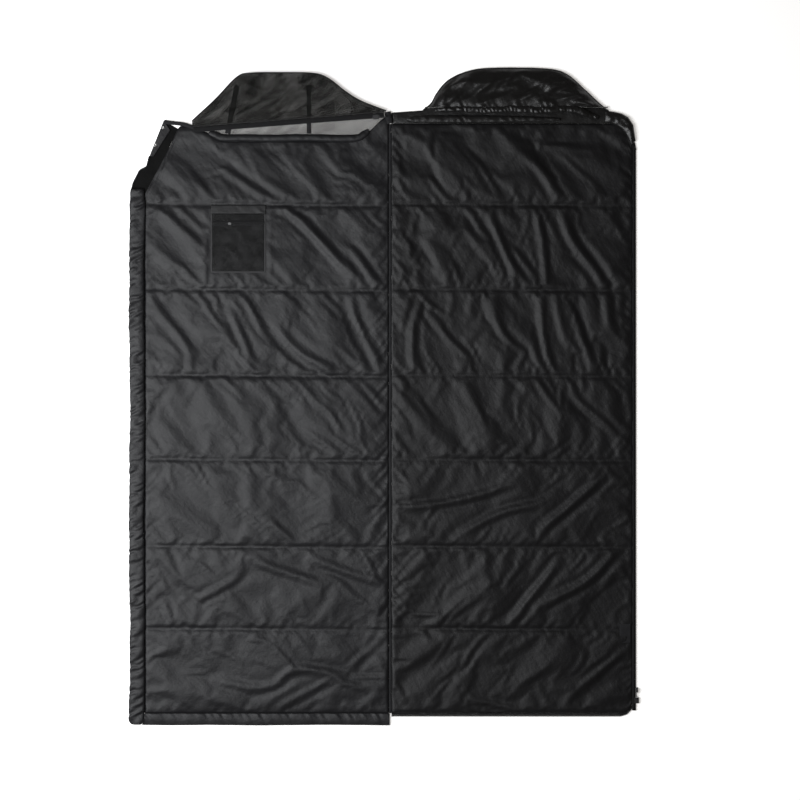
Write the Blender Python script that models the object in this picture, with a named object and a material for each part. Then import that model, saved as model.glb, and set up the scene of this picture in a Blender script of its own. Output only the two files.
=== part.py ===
"""Camp quilt: a rectangular zip-round sleeping bag opened out flat like a book, lining up.

Metres, +Z up, head end towards +Y. The right half carries the padded hood, the left half the
insect net. Both lie flat on the floor at z = 0 and fold together about the centre seam.
Places on a half are given as (out, up): out from the centre seam, up from the neck seam.
"""
import math

import bmesh
import bpy
from mathutils import Matrix, Vector

# ---- gaps ----
GAP = 0.0003                # between neighbours that touch on the real quilt
RUN = 0.0003                # running clearance of a slider on its coil

# ---- overall ----
HALF_WIDTH = 0.748          # centre seam to side seam of the net half
HOOD_HALF_WIDTH = 0.740     # centre seam to the zip tape of the hood half
BODY_LENGTH = 1.798         # neck seam to foot seam
SEAM_HALF_GAP = 0.004       # half of the valley between the two halves
TUBE_WIDTH = 0.048          # draught tube outside the net half's side seam
FOOT_FLAP_WIDTH = 0.037     # draught flap below the net half's foot seam

# ---- layers ----
FABRIC = 0.0012             # shell or lining, with its seam allowances
BATTING = 0.0080
HOOD_BATTING = 0.0050
HOOD_FRONT_BATTING = 0.0030
NET = 0.0008
TAPE = 0.0012               # woven zip tape

# ---- hood, on the hood half ----
HOOD_START = 0.100
HOOD_WIDTH = 0.570
HOOD_HEIGHT = 0.171
HOOD_HOLLOW = 0.0120        # room for the head between back and front, laid flat
HOOD_EDGE = 0.0020          # sewn edge that joins front and back
HOOD_PROFILE = ((0.0, 0.25), (0.045, 0.37), (0.075, 0.55), (0.125, 0.75), (0.19, 0.88), (0.28, 0.97),
                (0.40, 1.0), (0.66, 0.985), (0.77, 0.885), (0.87, 0.60), (0.94, 0.38), (1.0, 0.22))
RIM_WIDTH = 0.0215
RIM_HEIGHT = 0.0075
RIM_LENGTH = 0.500
RIM_BASE = 0.0285           # lower edge of the rim above the neck seam
RIM_WALL = 0.0010
ELASTIC_THICKNESS = 0.0015
NECK_BAND_HEIGHT = 0.036    # plain neck edge beside the hood
ROLL_START = 0.050
ROLL_LENGTH = 0.470
ROLL_WIDTH = 0.025
ROLL_HEIGHT = 0.0060

# ---- net, on the net half ----
NET_START = 0.012
NET_WIDTH = HALF_WIDTH - 0.1555
NET_HEIGHT = 0.157
NET_HOLLOW = 0.0053         # the front net lies this far above the lining
NET_EDGE = 0.0030
NET_PROFILE = ((0.0, 0.26), (0.13, 0.45), (0.215, 0.65), (0.29, 0.87), (0.37, 0.985), (0.55, 1.0),
               (0.70, 0.99), (0.77, 0.91), (0.88, 0.48), (1.0, 0.06))
NECK_DROP = 0.0534          # neck edge of the net half below the neck seam
COLLAR_OUT = 0.105
COLLAR_UP = 0.024
HEM_START = 0.110
HEM_LENGTH = HALF_WIDTH - 0.358
HEM_WIDTH = 0.0195
HEM_HEIGHT = 0.0105
CORNER_ALONG = 0.093        # the cut corner of the net half, along the neck
CORNER_DOWN = 0.2015        # and down the side
HANGER_LEFT = (0.478, 0.018)    # place out from the seam, and width
HANGER_RIGHT = (0.2475, 0.014)
HANGER_TOP = 0.118

# ---- zips ----
COIL_WIDTH = 0.0040
COIL_HEIGHT = 0.0032
SIDE_TAPE_WIDTH = 0.0060
HIDDEN_TAPE_WIDTH = 0.0150
SIDE_COIL_TOP = 0.080       # below the neck seam
SIDE_COIL_END = 0.008       # above the foot seam
NET_TAPE_WIDTH = 0.0160
NET_ZIP_START = (0.018, 0.0300)
NET_ZIP_END = (HALF_WIDTH - 0.148, -0.0150)
POCKET_COIL_WIDTH = 0.0026
POCKET_COIL_HEIGHT = 0.0016

# ---- sliders and pulls ----
POST = 0.0012
BAR = 0.0012
BRIDGE_WIDTH = 0.0022
SLIDER_OFFSET = 0.0035      # the slider's middle, outside the coil's
LARGE = {"width": 0.0140, "length": 0.0150, "wall": 0.0012, "space": 0.0014, "ring": 0.0036, "wire": 0.0007}
SMALL = {"width": 0.0070, "length": 0.0070, "wall": 0.0006, "space": 0.0010, "ring": 0.0019, "wire": 0.0005}
MAIN_SLIDER_UP = 0.0450 - BODY_LENGTH    # its place at rest, near the foot seam
GRIP_SIZE = (0.0090, 0.0160, 0.0046)
GRIP_REACH = 0.0180         # the pull's wire to its grip
PULL_CORD = 0.0015
KNOT_RADIUS = 0.0028
LOOP_REACH = 0.0240         # the net pull's wire to its knot
NET_SLIDER_IN = 0.0200      # the net slider from the start of its zip

# ---- pocket, on the net half ----
POCKET_OUT = 0.3785         # its edge nearest the centre seam
POCKET_WIDTH = 0.168
POCKET_TOP = -0.2475
POCKET_BAND = 0.027
POCKET_HEIGHT = 0.180       # below the band
POCKET_BORDER = 0.0050
POCKET_ZIP_DOWN = 0.022     # below the band
POCKET_TAPE_WIDTH = 0.0100
POCKET_SLIDER_IN = 0.108    # from the pocket's edge nearest the seam
BINDING = 0.0015
MESH = 0.0006

# ---- corner flap and patch ----
FLAP_OUTER = ((HALF_WIDTH - 0.0574, 0.0100), (HALF_WIDTH - 0.0138, -0.0990))
FLAP_INNER = ((HALF_WIDTH - 0.0780, -0.0200), (HALF_WIDTH - 0.0265, -0.1000))
GUSSET_EDGE = ((-0.0055, -0.1310), (0.0164, -0.1426), (0.0354, -0.1810), (0.0437, -0.2112))
FLAP_THICKNESS = 0.0027
GUSSET = 0.0030
STUD_PLACES = ((HALF_WIDTH - 0.0555, -0.0120), (HALF_WIDTH - 0.0315, -0.0650))
STUD_RADIUS = 0.0050
STUD_HEIGHT = 0.0016
PATCH_SIZE = (0.034, 0.058)
PATCH_IN = 0.006            # from the side edge of the hood half
PATCH_UP = 0.2140 - BODY_LENGTH

# ---- places that follow ----
LINING_LOW = FABRIC + GAP + BATTING + GAP
LINING_TOP = LINING_LOW + FABRIC
HOOD_LINING_TOP = FABRIC + GAP + HOOD_BATTING + GAP + FABRIC
HOOD_FRONT_LOW = HOOD_LINING_TOP + HOOD_HOLLOW
HOOD_FRONT_TOP = HOOD_FRONT_LOW + FABRIC + GAP + HOOD_FRONT_BATTING + GAP + FABRIC
NET_FRONT_LOW = LINING_TOP + NET_HOLLOW
COIL_OUT = HOOD_HALF_WIDTH + 2 * GAP + SIDE_TAPE_WIDTH + COIL_WIDTH / 2
COIL_Z = 0.0040
RIGHT_REACH = COIL_OUT + SLIDER_OFFSET + LARGE["width"] / 2
LEFT_REACH = HALF_WIDTH + GAP + TUBE_WIDTH
SEAM_X = (LEFT_REACH - RIGHT_REACH) / 2
NECK_Y = (BODY_LENGTH + GAP + FOOT_FLAP_WIDTH - HOOD_HEIGHT) / 2
TUBE_LOW = 0.0037
TUBE_HEIGHT = 0.0120
TUBE_WALL = 0.0010

COLOURS = {
    "black_nylon": ((0.030, 0.030, 0.033), 0.45, 0.0),
    "batting_white": ((0.75, 0.74, 0.70), 0.95, 0.0),
    "zip_tape": ((0.020, 0.020, 0.021), 0.80, 0.0),
    "zip_coil": ((0.035, 0.035, 0.036), 0.35, 0.0),
    "insect_net": ((0.045, 0.045, 0.047), 0.80, 0.0),
    "pocket_mesh": ((0.028, 0.028, 0.029), 0.80, 0.0),
    "binding": ((0.018, 0.018, 0.019), 0.70, 0.0),
    "elastic": ((0.060, 0.060, 0.060), 0.85, 0.0),
    "black_metal": ((0.050, 0.050, 0.052), 0.35, 0.9),
    "stud_metal": ((0.80, 0.80, 0.78), 0.25, 1.0),
    "pull_cord": ((0.022, 0.022, 0.023), 0.85, 0.0),
    "grip_rubber": ((0.025, 0.025, 0.025), 0.65, 0.0),
}


def material(name):
    """The named Principled material, made once."""
    found = bpy.data.materials.get(name)
    if found:
        return found
    colour, roughness, metallic = COLOURS[name]
    made = bpy.data.materials.new(name)
    made.use_nodes = True
    shader = made.node_tree.nodes["Principled BSDF"]
    shader.inputs["Base Color"].default_value = (*colour, 1)
    shader.inputs["Roughness"].default_value = roughness
    shader.inputs["Metallic"].default_value = metallic
    return made


def net_side(out, up):
    """World x, y of a place on the net half."""
    return SEAM_X - out, NECK_Y + up


def hood_side(out, up):
    """World x, y of a place on the hood half."""
    return SEAM_X + out, NECK_Y + up


def add(name, mesh_data, finish):
    """Turns a bmesh into the named object with its material."""
    bmesh.ops.recalc_face_normals(mesh_data, faces=mesh_data.faces)
    mesh = bpy.data.meshes.new(name)
    mesh_data.to_mesh(mesh)
    mesh_data.free()
    made = bpy.data.objects.new(name, mesh)
    made.data.materials.append(material(finish))
    bpy.context.scene.collection.objects.link(made)
    return made


def prism(name, outline, low, high, finish):
    """A flat panel: the outline's x, y places, raised from low to high."""
    panel = bmesh.new()
    corners = [panel.verts.new((x, y, low)) for x, y in outline]
    face = panel.faces.new(corners)
    grown = bmesh.ops.extrude_face_region(panel, geom=[face])
    top = [v for v in grown["geom"] if isinstance(v, bmesh.types.BMVert)]
    bmesh.ops.translate(panel, verts=top, vec=(0, 0, high - low))
    return add(name, panel, finish)


def block(name, low, high, finish):
    """A box between two corners."""
    size = Vector(high) - Vector(low)
    middle = (Vector(high) + Vector(low)) / 2
    shape = bmesh.new()
    bmesh.ops.create_cube(shape, size=1)
    bmesh.ops.scale(shape, vec=size, verts=shape.verts)
    bmesh.ops.translate(shape, vec=middle, verts=shape.verts)
    return add(name, shape, finish)


def rectangle(side, out_low, out_high, up_low, up_high):
    """Outline of a rectangle on one half."""
    return [side(out_low, up_low), side(out_high, up_low), side(out_high, up_high), side(out_low, up_high)]


def sleeve(name, low, high, wall, along, finish):
    """A flat sleeve, open at both ends, running along x (0) or y (1)."""
    across = 1 - along
    outer = [(low[across], low[2]), (high[across], low[2]), (high[across], high[2]), (low[across], high[2])]
    inner = [(low[across] + wall, low[2] + wall), (high[across] - wall, low[2] + wall),
             (high[across] - wall, high[2] - wall), (low[across] + wall, high[2] - wall)]
    shape = bmesh.new()
    loops = []
    for end in (low[along], high[along]):
        for ring in (outer, inner):
            places = [(end, a, z) if along == 0 else (a, end, z) for a, z in ring]
            loops.append([shape.verts.new(p) for p in places])
    outer_a, inner_a, outer_b, inner_b = loops
    for first, second in ((outer_a, outer_b), (inner_a, inner_b), (outer_a, inner_a), (outer_b, inner_b)):
        for i in range(4):
            j = (i + 1) % 4
            shape.faces.new((first[i], first[j], second[j], second[i]))
    return add(name, shape, finish)


def smooth(points, steps):
    """Places along a smooth curve through the points (Catmull-Rom)."""
    padded = [points[0], *points, points[-1]]
    places = []
    for i in range(len(points) - 1):
        a, b, c, d = (Vector(p) for p in padded[i:i + 4])
        for step in range(steps):
            t = step / steps
            places.append(0.5 * (2 * b + (c - a) * t + (2 * a - 5 * b + 4 * c - d) * t * t
                                 + (3 * b - a - 3 * c + d) * t ** 3))
    places.append(Vector(points[-1]))
    return places


def inset(curve, distance):
    """The curve moved to its inner side, which is on the left as it runs."""
    moved = []
    for i, place in enumerate(curve):
        ahead = curve[min(i + 1, len(curve) - 1)]
        behind = curve[max(i - 1, 0)]
        run = (ahead - behind).normalized()
        moved.append(place + distance * Vector((-run.y, run.x)))
    return moved


def above(curve, floor):
    """The stretch of a closed-over arch that lies above a level, cut square at that level."""
    kept = []
    for a, b in zip(curve, curve[1:]):
        if (a.y > floor) != (b.y > floor):
            kept.append(a.lerp(b, (floor - a.y) / (b.y - a.y)))
        if b.y > floor:
            kept.append(b)
    return kept


def hood_half():
    """Shell, batting and lining of the right half, with its side and foot zip."""
    corner = 0.030
    edge = HOOD_HALF_WIDTH
    outline = [hood_side(SEAM_HALF_GAP, -GAP), hood_side(edge - corner, -GAP),
               hood_side(edge - 0.3 * corner, -0.5 * corner), hood_side(edge, -2 * corner),
               hood_side(edge, -BODY_LENGTH + corner), hood_side(edge - 0.3 * corner, -BODY_LENGTH + 0.3 * corner),
               hood_side(edge - corner, -BODY_LENGTH), hood_side(SEAM_HALF_GAP, -BODY_LENGTH)]
    prism("hood_half_shell", outline, 0, FABRIC, "black_nylon")
    prism("hood_half_batting", outline, FABRIC + GAP, FABRIC + GAP + BATTING, "batting_white")
    prism("hood_half_lining", outline, LINING_LOW, LINING_TOP, "black_nylon")

    half = SEAM_HALF_GAP - GAP
    prism("centre_seam_binding", rectangle(hood_side, -half, half, -BODY_LENGTH, -GAP), 0, 0.6 * LINING_TOP,
          "binding")

    tape = edge + GAP
    coil = tape + SIDE_TAPE_WIDTH + GAP
    low, high = -BODY_LENGTH + SIDE_COIL_END, -SIDE_COIL_TOP
    prism("side_zip_tape", rectangle(hood_side, tape, tape + SIDE_TAPE_WIDTH, low, high),
          COIL_Z - TAPE / 2, COIL_Z + TAPE / 2, "zip_tape")
    prism("side_zip_coil", rectangle(hood_side, coil, coil + COIL_WIDTH, low, high),
          COIL_Z - COIL_HEIGHT / 2, COIL_Z + COIL_HEIGHT / 2, "zip_coil")
    prism("zip_head_stop", rectangle(hood_side, coil - 0.0005, coil + COIL_WIDTH + 0.0005, high + GAP, high + 0.005),
          COIL_Z - COIL_HEIGHT / 2 - 0.0004, COIL_Z + COIL_HEIGHT / 2 + 0.0004, "black_metal")

    foot = -BODY_LENGTH - GAP
    prism("foot_zip_tape", rectangle(hood_side, SEAM_HALF_GAP, edge - corner, foot - SIDE_TAPE_WIDTH, foot),
          COIL_Z - TAPE / 2, COIL_Z + TAPE / 2, "zip_tape")
    foot_coil = foot - SIDE_TAPE_WIDTH - GAP
    prism("foot_zip_coil", rectangle(hood_side, SEAM_HALF_GAP, edge - corner, foot_coil - COIL_WIDTH, foot_coil),
          COIL_Z - COIL_HEIGHT / 2, COIL_Z + COIL_HEIGHT / 2, "zip_coil")

    patch = edge - PATCH_IN
    prism("hook_patch", rectangle(hood_side, patch - PATCH_SIZE[0], patch, PATCH_UP, PATCH_UP + PATCH_SIZE[1]),
          LINING_TOP + GAP, LINING_TOP + GAP + FABRIC, "binding")


def hood():
    """Back, front and gathered rim of the padded hood, open towards the body."""
    arch = smooth([(HOOD_START + a * HOOD_WIDTH, b * HOOD_HEIGHT) for a, b in HOOD_PROFILE], 3)
    arch.reverse()
    inner = inset(arch, HOOD_EDGE + GAP)
    neck = [Vector((SEAM_HALF_GAP, NECK_BAND_HEIGHT)), Vector((SEAM_HALF_GAP, 0)),
            Vector((HOOD_HALF_WIDTH - 0.020, 0)), Vector((HOOD_HALF_WIDTH - 0.038, 0.0186))]
    back = [hood_side(*p) for p in (*neck, *inner)]
    prism("hood_back_shell", back, 0, FABRIC, "black_nylon")
    prism("hood_back_batting", back, FABRIC + GAP, FABRIC + GAP + HOOD_BATTING, "batting_white")
    prism("hood_back_lining", back, HOOD_LINING_TOP - FABRIC, HOOD_LINING_TOP, "black_nylon")

    rim_top = RIM_BASE + RIM_WIDTH
    front = [hood_side(*p) for p in above(inner, rim_top + GAP)]
    prism("hood_front_lining", front, HOOD_FRONT_LOW, HOOD_FRONT_LOW + FABRIC, "black_nylon")
    batting = HOOD_FRONT_LOW + FABRIC + GAP
    prism("hood_front_batting", front, batting, batting + HOOD_FRONT_BATTING, "batting_white")
    prism("hood_front_shell", front, HOOD_FRONT_TOP - FABRIC, HOOD_FRONT_TOP, "black_nylon")

    outside = above(arch, rim_top + GAP)
    wall = outside + list(reversed(inset(outside, HOOD_EDGE)))
    prism("hood_edge_binding", [hood_side(*p) for p in wall], 0, HOOD_FRONT_TOP, "black_nylon")

    start = HOOD_START + (HOOD_WIDTH - RIM_LENGTH) / 2
    left, base = hood_side(start, RIM_BASE)
    low = Vector((left, base, HOOD_FRONT_LOW))
    high = low + Vector((RIM_LENGTH, RIM_WIDTH, RIM_HEIGHT))
    sleeve("hood_rim_casing", low, high, RIM_WALL, 0, "black_nylon")
    room = Vector((0, RIM_WALL + GAP, RIM_WALL + GAP))
    top = Vector((high.x, high.y - RIM_WALL - GAP, low.z + RIM_WALL + GAP + ELASTIC_THICKNESS))
    block("hood_rim_elastic", low + room, top, "elastic")

    prism("neck_roll", rectangle(hood_side, ROLL_START, ROLL_START + ROLL_LENGTH, GAP, GAP + ROLL_WIDTH),
          HOOD_LINING_TOP + GAP, HOOD_LINING_TOP + GAP + ROLL_HEIGHT, "black_nylon")


def net_half():
    """Shell, batting and lining of the left half, its draught tube, foot flap and hidden zip."""
    corner = HALF_WIDTH - CORNER_ALONG
    outline = [net_side(SEAM_HALF_GAP, COLLAR_UP), net_side(NET_START, COLLAR_UP),
               net_side(0.32 * COLLAR_OUT, 0.25 * COLLAR_UP), net_side(COLLAR_OUT, -NECK_DROP),
               net_side(HEM_START + HEM_LENGTH + 0.013, -NECK_DROP), net_side(corner - 0.055, -0.018),
               net_side(corner, -0.012), net_side(HALF_WIDTH, -CORNER_DOWN),
               net_side(HALF_WIDTH, -BODY_LENGTH), net_side(SEAM_HALF_GAP, -BODY_LENGTH)]
    prism("net_half_shell", outline, 0, FABRIC, "black_nylon")
    prism("net_half_batting", outline, FABRIC + GAP, FABRIC + GAP + BATTING, "batting_white")
    prism("net_half_lining", outline, LINING_LOW, LINING_TOP, "black_nylon")

    hem_low = -NECK_DROP + GAP
    prism("neck_hem", rectangle(net_side, HEM_START, HEM_START + HEM_LENGTH, hem_low, hem_low + HEM_WIDTH),
          0, HEM_HEIGHT, "black_nylon")

    side = HALF_WIDTH + GAP
    tube_top = -CORNER_DOWN - 0.010
    tube = side + TUBE_WIDTH
    low = Vector((*net_side(tube, -BODY_LENGTH), TUBE_LOW))
    high = Vector((*net_side(side, tube_top), TUBE_LOW + TUBE_HEIGHT))
    sleeve("draught_tube_cover", low, high, TUBE_WALL, 1, "black_nylon")
    room = TUBE_WALL + GAP
    block("draught_tube_filling", low + Vector((room, 0, room)), high - Vector((room, 0, room)), "batting_white")

    hidden = side + HIDDEN_TAPE_WIDTH
    prism("net_side_zip_tape", rectangle(net_side, side, hidden, -BODY_LENGTH, tube_top), 0, TAPE, "zip_tape")
    prism("net_side_zip_coil", rectangle(net_side, hidden + GAP, hidden + GAP + COIL_WIDTH, -BODY_LENGTH, tube_top),
          0, COIL_HEIGHT, "zip_coil")

    foot = -BODY_LENGTH - GAP
    prism("foot_flap", rectangle(net_side, SEAM_HALF_GAP, HALF_WIDTH, foot - FOOT_FLAP_WIDTH, foot),
          COIL_HEIGHT + GAP, COIL_HEIGHT + GAP + 2 * FABRIC, "black_nylon")
    tape_foot = foot - HIDDEN_TAPE_WIDTH
    prism("net_foot_zip_tape", rectangle(net_side, SEAM_HALF_GAP, HALF_WIDTH, tape_foot, foot), 0, TAPE, "zip_tape")
    coil_top = tape_foot - GAP
    prism("net_foot_zip_coil", rectangle(net_side, SEAM_HALF_GAP, HALF_WIDTH, coil_top - COIL_WIDTH, coil_top),
          0, COIL_HEIGHT, "zip_coil")


def net_arch():
    """The net's outer curve, from the far side to the centre seam."""
    curve = smooth([(NET_START + a * NET_WIDTH, b * NET_HEIGHT) for a, b in NET_PROFILE], 3)
    curve.reverse()
    return curve


def net_zip_line(out):
    """Height of the net's zip above the neck seam, at a place out from the centre seam."""
    (a, low), (b, high) = NET_ZIP_START, NET_ZIP_END
    return low + (high - low) * (out - a) / (b - a)


def net_back():
    """The back net, its edge and its two hanging tapes."""
    arch = net_arch()
    hem_top = -NECK_DROP + 2 * GAP + HEM_WIDTH
    hem_end = HEM_START + HEM_LENGTH
    lower = [Vector((NET_START, COLLAR_UP + 2 * GAP)), Vector((0.32 * COLLAR_OUT + 0.002, 0.25 * COLLAR_UP + 0.002)),
             Vector((COLLAR_OUT - 0.004, hem_top)), Vector((hem_end + 0.040, hem_top)),
             Vector((HALF_WIDTH - CORNER_ALONG - 0.055, -0.015))]
    prism("back_net", [net_side(*p) for p in (*arch, *lower)], 0, NET, "insect_net")
    wall = arch + list(reversed(inset(arch, NET_EDGE)))
    prism("net_edge_binding", [net_side(*p) for p in wall], NET + GAP, NET_FRONT_LOW - GAP, "insect_net")
    for name, (out, width) in (("net_tape_left", HANGER_LEFT), ("net_tape_right", HANGER_RIGHT)):
        strip = rectangle(net_side, out - width / 2, out + width / 2, hem_top, HANGER_TOP)
        prism(name, strip, NET + GAP, 2 * NET + GAP, "zip_tape")


def net_front():
    """The front net, which turns back over the crown, and the zip along its lower edge."""
    arch = net_arch()
    half = NET_TAPE_WIDTH / 2
    outs = (NET_START + 0.010, NET_START + NET_WIDTH - 0.012)
    edge = [Vector((out, net_zip_line(out) + half + GAP)) for out in outs]
    kept = [p for p in arch if p.y > net_zip_line(p.x) + half + 4 * GAP]
    prism("front_net", [net_side(*p) for p in (*kept, *edge)], NET_FRONT_LOW, NET_FRONT_LOW + NET, "insect_net")

    run = Vector(net_side(*NET_ZIP_END)) - Vector(net_side(*NET_ZIP_START))
    turn = Matrix.Rotation(math.atan2(run.y, run.x), 4, "Z")
    place = Matrix.Translation((*net_side(*NET_ZIP_START), NET_FRONT_LOW)) @ turn
    low = (COIL_HEIGHT - TAPE) / 2
    tape = block("net_zip_tape", (0, -half, low), (run.length, half - COIL_WIDTH - GAP, low + TAPE), "zip_tape")
    coil = block("net_zip_coil", (0, half - COIL_WIDTH, 0), (run.length, half, COIL_HEIGHT), "zip_coil")
    tape.matrix_world = place
    coil.matrix_world = place
    return place @ Matrix.Translation((0, half - COIL_WIDTH / 2, COIL_HEIGHT / 2))


def slider(name, coil_width, coil_height, tape, kind, offset, place):
    """A zip slider. Its own +Y runs along the coil, its tape leaves on its -X side.

    A bridge along the coil stands on the wings, and the pull's wire crosses under it.
    Returns the frame of that wire: its middle, with the coil's direction as +Y.
    """
    half_coil = coil_width / 2 + RUN
    tall = coil_height / 2 + RUN
    slot = tape / 2 + RUN
    left, right = offset - kind["width"] / 2, offset + kind["width"] / 2
    top = tall + kind["wall"]
    section = [(left, -slot), (-half_coil, -slot), (-half_coil, -tall), (half_coil, -tall), (half_coil, tall),
               (-half_coil, tall), (-half_coil, slot), (left, slot), (left, top), (right, top), (right, -top),
               (left, -top)]
    space = kind["space"]
    foot = space + POST
    wings = extruded(name, section, -kind["length"], foot, "black_metal")
    rise = kind["ring"] - math.sqrt(kind["ring"] ** 2 - space ** 2)
    under = top + 2 * kind["wire"] + 2 * RUN + rise
    arch = [(-foot, top - GAP), (-space, top - GAP), (-space, under), (space, under), (space, top - GAP),
            (foot - GAP, top - GAP), (foot - GAP, under + BAR), (-foot, under + BAR)]
    bridge = extruded(name + "_bridge", arch, -BRIDGE_WIDTH / 2, BRIDGE_WIDTH / 2, "black_metal")
    bridge.hide_render = True
    bridge.display_type = "WIRE"
    join = wings.modifiers.new("bridge", "BOOLEAN")
    join.operation = "UNION"
    join.object = bridge
    wings.matrix_world = place
    bridge.matrix_world = place @ Matrix.Translation((offset, 0, 0)) @ Matrix.Rotation(math.radians(90), 4, "Z")
    return place @ Matrix.Translation((offset, 0, top + kind["wire"] + RUN))


def extruded(name, section, start, end, finish):
    """A solid with its x, z section drawn out along y."""
    shape = bmesh.new()
    face = shape.faces.new([shape.verts.new((x, start, z)) for x, z in section])
    grown = bmesh.ops.extrude_face_region(shape, geom=[face])
    far = [v for v in grown["geom"] if isinstance(v, bmesh.types.BMVert)]
    bmesh.ops.translate(shape, verts=far, vec=(0, end - start, 0))
    return add(name, shape, finish)


def ring(name, wire, kind, finish):
    """A wire ring that crosses under a slider's bridge and lies along the wire frame's +Y."""
    bpy.ops.mesh.primitive_torus_add(major_radius=kind["ring"], minor_radius=kind["wire"], major_segments=20,
                                     minor_segments=8)
    made = bpy.context.object
    made.name = name
    made.data.name = name
    made.data.materials.append(material(finish))
    made.data.shade_smooth()
    made.matrix_world = wire @ Matrix.Translation((0, kind["ring"], 0))
    return made


def loop_end(kind):
    """Places where a cord turns round the far side of a ring, in the wire's own frame."""
    far = 2 * kind["ring"]
    bend = 2 * PULL_CORD
    return [(0, far + 0.0030, bend), (0, far, bend), (0, far - 0.75 * bend, 0.7 * bend), (0, far - bend, 0),
            (0, far - 0.75 * bend, -0.7 * bend), (0, far, -bend), (0, far + 0.0030, -bend)]


def cord(name, route, diameter, finish):
    """A cord along a smooth curve through its route."""
    curve = bpy.data.curves.new(name, "CURVE")
    curve.dimensions = "3D"
    curve.bevel_depth = diameter / 2
    curve.bevel_resolution = 2
    curve.use_fill_caps = True
    places = smooth(route, 3)
    spline = curve.splines.new("POLY")
    spline.points.add(len(places) - 1)
    for point, place in zip(spline.points, places):
        point.co = (*place, 1)
    made = bpy.data.objects.new(name, curve)
    made.data.materials.append(material(finish))
    bpy.context.scene.collection.objects.link(made)
    return made


def ball(name, middle, radius, finish):
    """A small knot."""
    shape = bmesh.new()
    bmesh.ops.create_icosphere(shape, subdivisions=2, radius=radius)
    bmesh.ops.translate(shape, vec=middle, verts=shape.verts)
    return add(name, shape, finish)


def main_zip():
    """The main slider, parked at the foot corner, with its ring, cord and grip on top of the coil."""
    x, y = hood_side(COIL_OUT, MAIN_SLIDER_UP)
    wire = slider("main_slider", COIL_WIDTH, COIL_HEIGHT, TAPE, LARGE, SLIDER_OFFSET,
                  Matrix.Translation((x, y, COIL_Z)))
    ring("main_pull_ring", wire, LARGE, "black_metal")
    width, length, height = GRIP_SIZE
    low = COIL_Z + COIL_HEIGHT / 2 + GAP
    middle = wire.translation
    face = middle.y + GRIP_REACH
    block("main_pull_grip", (middle.x - width / 2, face, low), (middle.x + width / 2, face + length, low + height),
          "grip_rubber")
    end = GRIP_REACH - GAP
    upper = low + height - PULL_CORD * 0.6 - middle.z
    lower = low + PULL_CORD * 0.6 - middle.z
    route = [(0, end, upper), (0, end - 0.004, upper), *loop_end(LARGE), (0, end - 0.004, lower), (0, end, lower)]
    cord("main_pull_cord", [wire @ Vector(p) for p in route], PULL_CORD, "pull_cord")


def net_zip(place):
    """The net's slider near the centre seam, with its ring and a knotted loop of cord."""
    along = place @ Matrix.Translation((NET_SLIDER_IN, 0, 0)) @ Matrix.Rotation(math.radians(90), 4, "Z")
    wire = slider("net_slider", COIL_WIDTH, COIL_HEIGHT, TAPE, LARGE, SLIDER_OFFSET, along)
    ring("net_pull_ring", wire, LARGE, "black_metal")
    knot = wire @ Vector((0, LOOP_REACH, 0))
    ball("net_pull_knot", knot, KNOT_RADIUS, "pull_cord")
    end = LOOP_REACH - KNOT_RADIUS - GAP
    spread = 0.6 * PULL_CORD
    route = [(0, end, spread), (0, end - 0.005, 1.6 * spread), *loop_end(LARGE), (0, end - 0.005, -1.6 * spread),
             (0, end, -spread)]
    cord("net_pull_cord", [wire @ Vector(p) for p in route], PULL_CORD, "pull_cord")


def pocket():
    """The mesh pocket on the net half, with its band, border, zip and slider."""
    near, far = POCKET_OUT, POCKET_OUT + POCKET_WIDTH
    low = LINING_TOP + GAP
    prism("pocket_band", rectangle(net_side, near, far, POCKET_TOP - POCKET_BAND, POCKET_TOP), low, low + BINDING,
          "black_nylon")
    top = POCKET_TOP - POCKET_BAND - GAP
    bottom = top - POCKET_HEIGHT
    border = [net_side(near, top), net_side(near, bottom), net_side(far, bottom), net_side(far, top),
              net_side(far - POCKET_BORDER, top), net_side(far - POCKET_BORDER, bottom + POCKET_BORDER),
              net_side(near + POCKET_BORDER, bottom + POCKET_BORDER), net_side(near + POCKET_BORDER, top)]
    prism("pocket_binding", border, low, low + BINDING, "binding")
    inner_near, inner_far = near + POCKET_BORDER + GAP, far - POCKET_BORDER - GAP
    zip_top = top - POCKET_ZIP_DOWN
    zip_low = zip_top - POCKET_TAPE_WIDTH
    prism("pocket_mesh_upper", rectangle(net_side, inner_near, inner_far, zip_top + GAP, top), low, low + MESH,
          "pocket_mesh")
    mesh_top = zip_low + POCKET_COIL_WIDTH / 2 - SMALL["width"] / 2 - GAP
    prism("pocket_mesh_lower", rectangle(net_side, inner_near, inner_far, bottom + POCKET_BORDER + GAP, mesh_top),
          low, low + MESH, "pocket_mesh")
    coil = rectangle(net_side, inner_near, inner_far, zip_low, zip_low + POCKET_COIL_WIDTH)
    coil_z = low + SMALL["wall"] + RUN + POCKET_COIL_HEIGHT / 2
    prism("pocket_zip_coil", coil, coil_z - POCKET_COIL_HEIGHT / 2, coil_z + POCKET_COIL_HEIGHT / 2, "zip_coil")
    tape = rectangle(net_side, inner_near, inner_far, zip_low + POCKET_COIL_WIDTH + GAP, zip_top)
    prism("pocket_zip_tape", tape, coil_z - MESH / 2, coil_z + MESH / 2, "zip_tape")

    x, y = net_side(near + POCKET_SLIDER_IN, zip_low + POCKET_COIL_WIDTH / 2)
    along = Matrix.Translation((x, y, coil_z)) @ Matrix.Rotation(math.radians(-90), 4, "Z")
    wire = slider("pocket_slider", POCKET_COIL_WIDTH, POCKET_COIL_HEIGHT, MESH, SMALL, 0, along)
    ring("pocket_pull", wire, SMALL, "stud_metal")


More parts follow.
